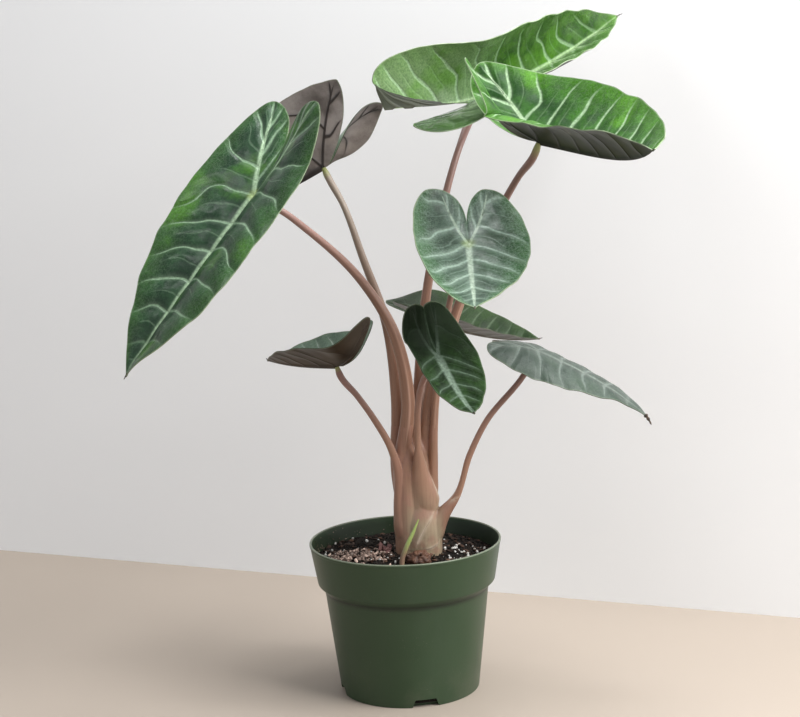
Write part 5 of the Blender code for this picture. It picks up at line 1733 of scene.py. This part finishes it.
def full_route(name):
    """A stalk's points and radii from its foot to the underside of its blade."""
    at = np.array(LEAVES[name]["at"])
    route = [list(point) for point in PETIOLES[name]["route"]]
    radius = route[-1][3]
    direction = seat_direction(LEAVES[name], at - route[-1][:3])
    route.append([*(at - direction * PETIOLE_RUN_IN), radius])
    route.append([*(at - direction * PETIOLE_SEAT), radius * 0.7])
    return smooth_route(route, ROUTE_STEPS)


def stalk_section(groove):
    """A stalk's section: a shallow groove between two thin ridges, which fade out upwards."""
    middle = math.radians(groove)

    def section(angle, share):
        away = np.abs((angle - middle + math.pi) % (2 * math.pi) - math.pi)
        fade = np.clip(1.25 - share * 1.4, 0.0, 1.0)
        ridge = np.exp(-(((away - RIDGE_ANGLE) / RIDGE_WIDTH) ** 2)) * fade
        hollow = np.exp(-((away / STALK_GROOVE_WIDTH) ** 2)) * fade
        return 1.0 + RIDGE_RISE * ridge - STALK_GROOVE_DEPTH * hollow, ridge

    return section


def make_petiole(name):
    """The free part of a leaf stalk: it rises out of the stem and swells a little under its blade."""
    points = full_route(name)
    start = int(np.argmax(points[:, 2] > PETIOLES[name]["free_from"] - PETIOLE_OVERLAP))
    points = points[start:]
    chosen = np.linspace(0, len(points) - 1, min(PETIOLE_POINTS, len(points))).round().astype(int)
    points = points[chosen]
    from_start = np.concatenate([[0.0], np.cumsum(np.linalg.norm(np.diff(points[:, :3], axis=0), axis=1))])
    to_end = from_start[-1] - from_start
    points[:, 3] *= np.clip(0.90 + 0.10 * from_start / PETIOLE_OVERLAP, 0.0, 1.0)
    points[:, 3] *= 1.0 + STALK_SWELL * np.clip((STALK_SWELL_TOP - points[:, 2]) / STALK_SWELL_FADE, 0.0, 1.0)
    points[:, 3] *= 1.0 + KNOB_SWELL * np.exp(-(((to_end - KNOB_BACK) / KNOB_LENGTH) ** 2))
    return wrap_round(name + "_stalk", points, PETIOLE_SIDES, stalk_section(PETIOLES[name]["groove"]))


def fold_depth(mesh):
    """For each corner, how deep it lies in a fold: above 0 in folds, below 0 on ridges."""
    places = corner_places(mesh)
    normals = np.array([corner.normal[:] for corner in mesh.vertices])
    edges = np.array([edge.vertices[:] for edge in mesh.edges])
    for _ in range(3):
        total = np.zeros_like(places)
        count = np.zeros(len(places))
        for start, end in ((0, 1), (1, 0)):
            np.add.at(total, edges[:, start], places[edges[:, end]])
            np.add.at(count, edges[:, start], 1.0)
        places = 0.5 * places + 0.5 * total / count[:, None]
    depth = ((places - corner_places(mesh)) * normals).sum(1)
    return np.clip(depth / (0.22 * STEM_VOXEL), -1.0, 1.0)


def stem_axis(heights):
    """Where the stem's middle is at each height."""
    foot, head = STEM_CORE[1][0], STEM_CORE[-1][0]
    share = np.clip((heights - foot) / (head - foot), 0.0, 1.0)
    x = STEM_FOOT[0] + (STEM_HEAD[0] - STEM_FOOT[0]) * share
    y = STEM_FOOT[1] + (STEM_HEAD[1] - STEM_FOOT[1]) * share
    return x, y


def near_edge(places, edge):
    """How far each place on the stem is from one sheath edge, and whether it lies at the edge's right."""
    x, y = stem_axis(places[:, 2])
    angle = np.arctan2(places[:, 0] - x, y - places[:, 1])
    here = np.column_stack([angle * SHEATH_TURN_RADIUS, places[:, 2]])
    route = np.array([(math.radians(turn) * SHEATH_TURN_RADIUS, height) for turn, height in edge])
    nearest = np.full(len(here), 1.0)
    right = np.zeros(len(here), dtype=bool)
    for start, end in zip(route, route[1:]):
        along = end - start
        share = np.clip(((here - start) @ along) / (along @ along), 0.0, 1.0)
        away = here - start - share[:, None] * along
        distance = np.hypot(away[:, 0], away[:, 1])
        closer = distance < nearest
        nearest = np.where(closer, distance, nearest)
        right = np.where(closer, along[0] * away[:, 1] - along[1] * away[:, 0] < 0.0, right)
    ends = np.minimum(np.linalg.norm(here - route[0], axis=1), np.linalg.norm(here - route[-1], axis=1))
    return nearest, right, np.clip(ends / SHEATH_FADE, 0.0, 1.0)


def lay_sheaths(mesh):
    """Raises the stem beside each sheath edge, and keeps where the papery edges are."""
    places = corner_places(mesh)
    x, y = stem_axis(places[:, 2])
    out = np.column_stack([places[:, 0] - x, places[:, 1] - y, np.zeros(len(places))])
    out /= np.maximum(np.linalg.norm(out, axis=1), 0.001)[:, None]
    rise = np.zeros(len(places))
    paper = np.zeros(len(places))
    for edge in SHEATH_EDGES:
        distance, right, inside = near_edge(places, edge)
        rise += SHEATH_STEP * inside * np.where(right, np.exp(-distance / SHEATH_FADE), 0.0)
        paper = np.maximum(paper, inside * np.exp(-((distance / PAPER_WIDTH) ** 2)))
    move_corners(mesh, places + out * rise[:, None])
    set_corner_value(mesh, "paper", paper)


def make_stem():
    """The stem: a core, broad wraps and the sheathed feet of all leaf stalks, grown together."""
    heights, radii = zip(*STEM_CORE, *CORE_TIP)
    x, y = stem_axis(np.array(heights))
    core = np.column_stack([x, y, heights, radii])
    feet = [wrap_round("stem_core", smooth_route(core, STEM_POINTS), STEM_SIDES)]
    for number, route in enumerate(WRAPS):
        feet.append(wrap_round("wrap_" + str(number), smooth_route(route, STEM_POINTS), STEM_SIDES))
    for name, stalk in PETIOLES.items():
        points = full_route(name)
        end = int(np.argmax(points[:, 2] > stalk["free_from"]))
        points = points[:end].copy()
        left = points[-1, 2] - points[:, 2]
        points[:, 3] *= np.clip(0.80 + 0.20 * left / FOOT_TAPER, 0.0, 1.0)
        points[:, 3] *= 1.0 + STALK_SWELL
        feet.append(wrap_round("foot_" + name, points, FOOT_SIDES, stalk_section(stalk["groove"])))
    stem = join(feet, "stem_sheaths")
    remesh = stem.modifiers.new("grown_together", "REMESH")
    remesh.mode = "VOXEL"
    remesh.voxel_size = STEM_VOXEL
    soften = stem.modifiers.new("soften", "SMOOTH")
    soften.factor = 0.5
    soften.iterations = 8
    apply_modifiers(stem)
    lay_sheaths(stem.data)
    set_corner_value(stem.data, "hollow", fold_depth(stem.data))
    smooth(stem, 80.0)
    return stem


def make_corm():
    """The corm: an uneven lump with low rings, half sunk in the soil, and a few root stubs."""
    select_none()
    bpy.ops.mesh.primitive_ico_sphere_add(subdivisions=5, radius=1.0)
    body = bpy.context.object
    places = corner_places(body.data)
    for corner, place in enumerate(places):
        lumps = noise.noise(Vector(place) * 1.7) * 0.20 + noise.noise(Vector(place) * 4.5) * 0.12
        lumps += noise.noise(Vector(place) * 11.0) * 0.05
        rings = 0.03 * math.sin(place[0] * 17.0 + 2.0 * noise.noise(Vector(place) * 2.0))
        places[corner] = place * (0.95 + lumps + rings)
    move_corners(body.data, places * np.array(CORM_SIZE) + np.array(CORM_CENTRE))
    stubs = [body]
    for number, (angle, tilt, length) in enumerate(((-60, 30, 0.0035), (15, 45, 0.003), (100, 25, 0.003))):
        turn, lift = math.radians(angle), math.radians(tilt)
        out = np.array([math.sin(turn) * math.cos(lift), -math.cos(turn) * math.cos(lift), math.sin(lift)])
        start = np.array(CORM_CENTRE) + out * np.array(CORM_SIZE) * 0.9
        shares = np.linspace(0.0, 1.0, 8)
        points = start + np.outer(shares * length, out)
        radii = 0.0011 * (1.0 - shares**2) ** 0.5 + 0.0002
        stubs.append(wrap_round("stub_" + str(number), np.column_stack([points, radii]), 12))
    corm = join(stubs, "corm_lump")
    smooth(corm, 60.0)
    return corm


def shoot_section(angle, share):
    """The rolled shoot: one overlap that winds round it once."""
    middle = 1.2 + 4.0 * share
    away = (angle - middle + math.pi) % (2 * math.pi) - math.pi
    step = np.where(away > 0.0, np.exp(-away / 0.9), 0.0)
    seam = np.exp(-((away / 0.16) ** 2))
    return 0.96 + 0.10 * step - 0.05 * seam, seam


def make_shoot():
    """The young shoot: a thin pointed leaf, still rolled up."""
    points = smooth_route(SHOOT_ROUTE, SHOOT_POINTS)
    points[:, 3] *= SHOOT_SHARE
    return wrap_round("rolled_shoot", points, SHOOT_SIDES, shoot_section)


def make_leaves(skin):
    """All blades and their stalks."""
    veins = veins_group()
    pale_edge = leaf_edge("pale_edge", MARGIN_COLOUR, (0.160, 0.210, 0.120))
    dull_edge = leaf_edge("dull_edge", (0.080, 0.095, 0.060), (0.040, 0.052, 0.030))
    knob = (0.300, 0.330, 0.110)
    pink = stalk_skin("stalk_pink", (0.325, 0.175, 0.112), (0.270, 0.152, 0.125), knob, skin)
    grey = stalk_skin("stalk_grey", (0.320, 0.172, 0.112), (0.330, 0.270, 0.215), knob, skin)
    for number, (name, leaf) in enumerate(LEAVES.items()):
        upper = leaf_upper(name, UPPER_LOOKS[name], veins, skin, 0.37 * number)
        under = leaf_under(name, UNDER_LOOKS[name], veins, skin, 0.37 * number)
        edge = pale_edge if name in PALE_EDGED else dull_edge
        blade = make_blade(name, leaf, (upper, under, edge))
        place_piece(blade, "blade_" + name)
        stalk = make_petiole(name)
        place_piece(stalk, "petiole_" + name, grey if name == "upper_left" else pink)
    place_piece(make_dried_tips(), None, dried_tip())


def make_plain(name, colour, roughness):
    """A plain matt material for the floor or the wall, with a faint unevenness."""
    material, tree, shader = new_material(name, roughness, specular=0.3)
    clouds = ramp(tree, noise_node(tree, object_place(tree), 2.2, 3.0), 0.3, 0.7)
    darker = tuple(channel * 0.96 for channel in colour)
    feed(tree, shader.inputs["Base Color"], mix(tree, clouds, colour, darker))
    return material, tree, shader


def make_floor():
    """The pale floor."""
    select_none()
    bpy.ops.mesh.primitive_plane_add(size=FLOOR_SIZE)
    floor = bpy.context.object
    floor.name = "floor"
    floor.data.materials.append(make_plain("floor_pale", FLOOR_COLOUR, 0.6)[0])


def make_wall():
    """The white wall behind. From behind it lets everything through, so the back of the plant shows."""
    left, right = Vector(WALL_LEFT), Vector(WALL_RIGHT)
    along = (right - left).normalized()
    middle = (left + right) / 2
    select_none()
    bpy.ops.mesh.primitive_plane_add(size=1.0)
    wall = bpy.context.object
    wall.name = "wall"
    wall.scale = (2 * WALL_REACH, WALL_HEIGHT, 1.0)
    wall.rotation_euler = (math.pi / 2, 0.0, math.atan2(along.y, along.x))
    wall.location = (middle.x, middle.y, WALL_HEIGHT / 2)
    material, tree, shader = make_plain("wall_white", WALL_COLOUR, 0.8)
    clear = tree.nodes.new("ShaderNodeBsdfTransparent")
    sides = tree.nodes.new("ShaderNodeMixShader")
    geometry = tree.nodes.new("ShaderNodeNewGeometry")
    tree.links.new(geometry.outputs["Backfacing"], sides.inputs[0])
    tree.links.new(shader.outputs[0], sides.inputs[1])
    tree.links.new(clear.outputs[0], sides.inputs[2])
    tree.links.new(sides.outputs[0], tree.nodes["Material Output"].inputs["Surface"])
    wall.data.materials.append(material)


def add_panel(name, place, target, size, power, colour):
    """A soft light panel that faces a target."""
    light = bpy.data.lights.new(name, "AREA")
    light.shape = "RECTANGLE"
    light.size, light.size_y = size
    light.energy = power
    light.color = colour
    panel = bpy.data.objects.new(name, light)
    panel.location = place
    panel.rotation_euler = (Vector(target) - Vector(place)).to_track_quat("-Z", "Y").to_euler()
    panel.visible_camera = False
    bpy.context.scene.collection.objects.link(panel)


def make_light():
    """A large soft light at the upper right, a long one above, two weak ones at the left, and a pale room."""
    for name, panel in PANELS.items():
        add_panel(name, *panel)
    world = bpy.data.worlds.new("pale_room")
    bpy.context.scene.world = world
    world.use_nodes = True
    background = world.node_tree.nodes["Background"]
    background.inputs["Color"].default_value = (*WORLD_COLOUR, 1.0)
    background.inputs["Strength"].default_value = WORLD_STRENGTH
    bpy.context.scene.view_settings.view_transform = "Standard"


def make_camera():
    """The camera, slightly above the plant's middle and rolled a little."""
    pitch, roll = math.radians(CAMERA_PITCH), math.radians(CAMERA_ROLL)
    ahead = Vector((0.0, math.cos(pitch), math.sin(pitch)))
    level_right = Vector((1.0, 0.0, 0.0))
    level_up = level_right.cross(ahead)
    right = level_right * math.cos(roll) + level_up * math.sin(roll)
    up = level_up * math.cos(roll) - level_right * math.sin(roll)
    data = bpy.data.cameras.new("front_camera")
    data.lens = LENS
    data.sensor_width = SENSOR
    camera = bpy.data.objects.new("front_camera", data)
    camera.matrix_world = Matrix.Translation(EYE) @ Matrix((right, up, -ahead)).transposed().to_4x4()
    bpy.context.scene.collection.objects.link(camera)
    bpy.context.scene.camera = camera


def main():
    """Dresses the whole plant, and sets the floor, the wall, the light and the camera."""
    make_camera()
    skin = speckle_group()
    place_piece(make_pot(), "pot", pot_plastic(dust_group()))
    place_piece(make_soil(), "soil", soil_material())
    make_grains()
    place_piece(make_stem(), "stem", stem_skin(skin))
    place_piece(make_corm(), "corm", corm_material())
    place_piece(make_shoot(), "young_shoot", shoot_skin())
    make_leaves(skin)
    make_floor()
    make_wall()
    make_light()


main()
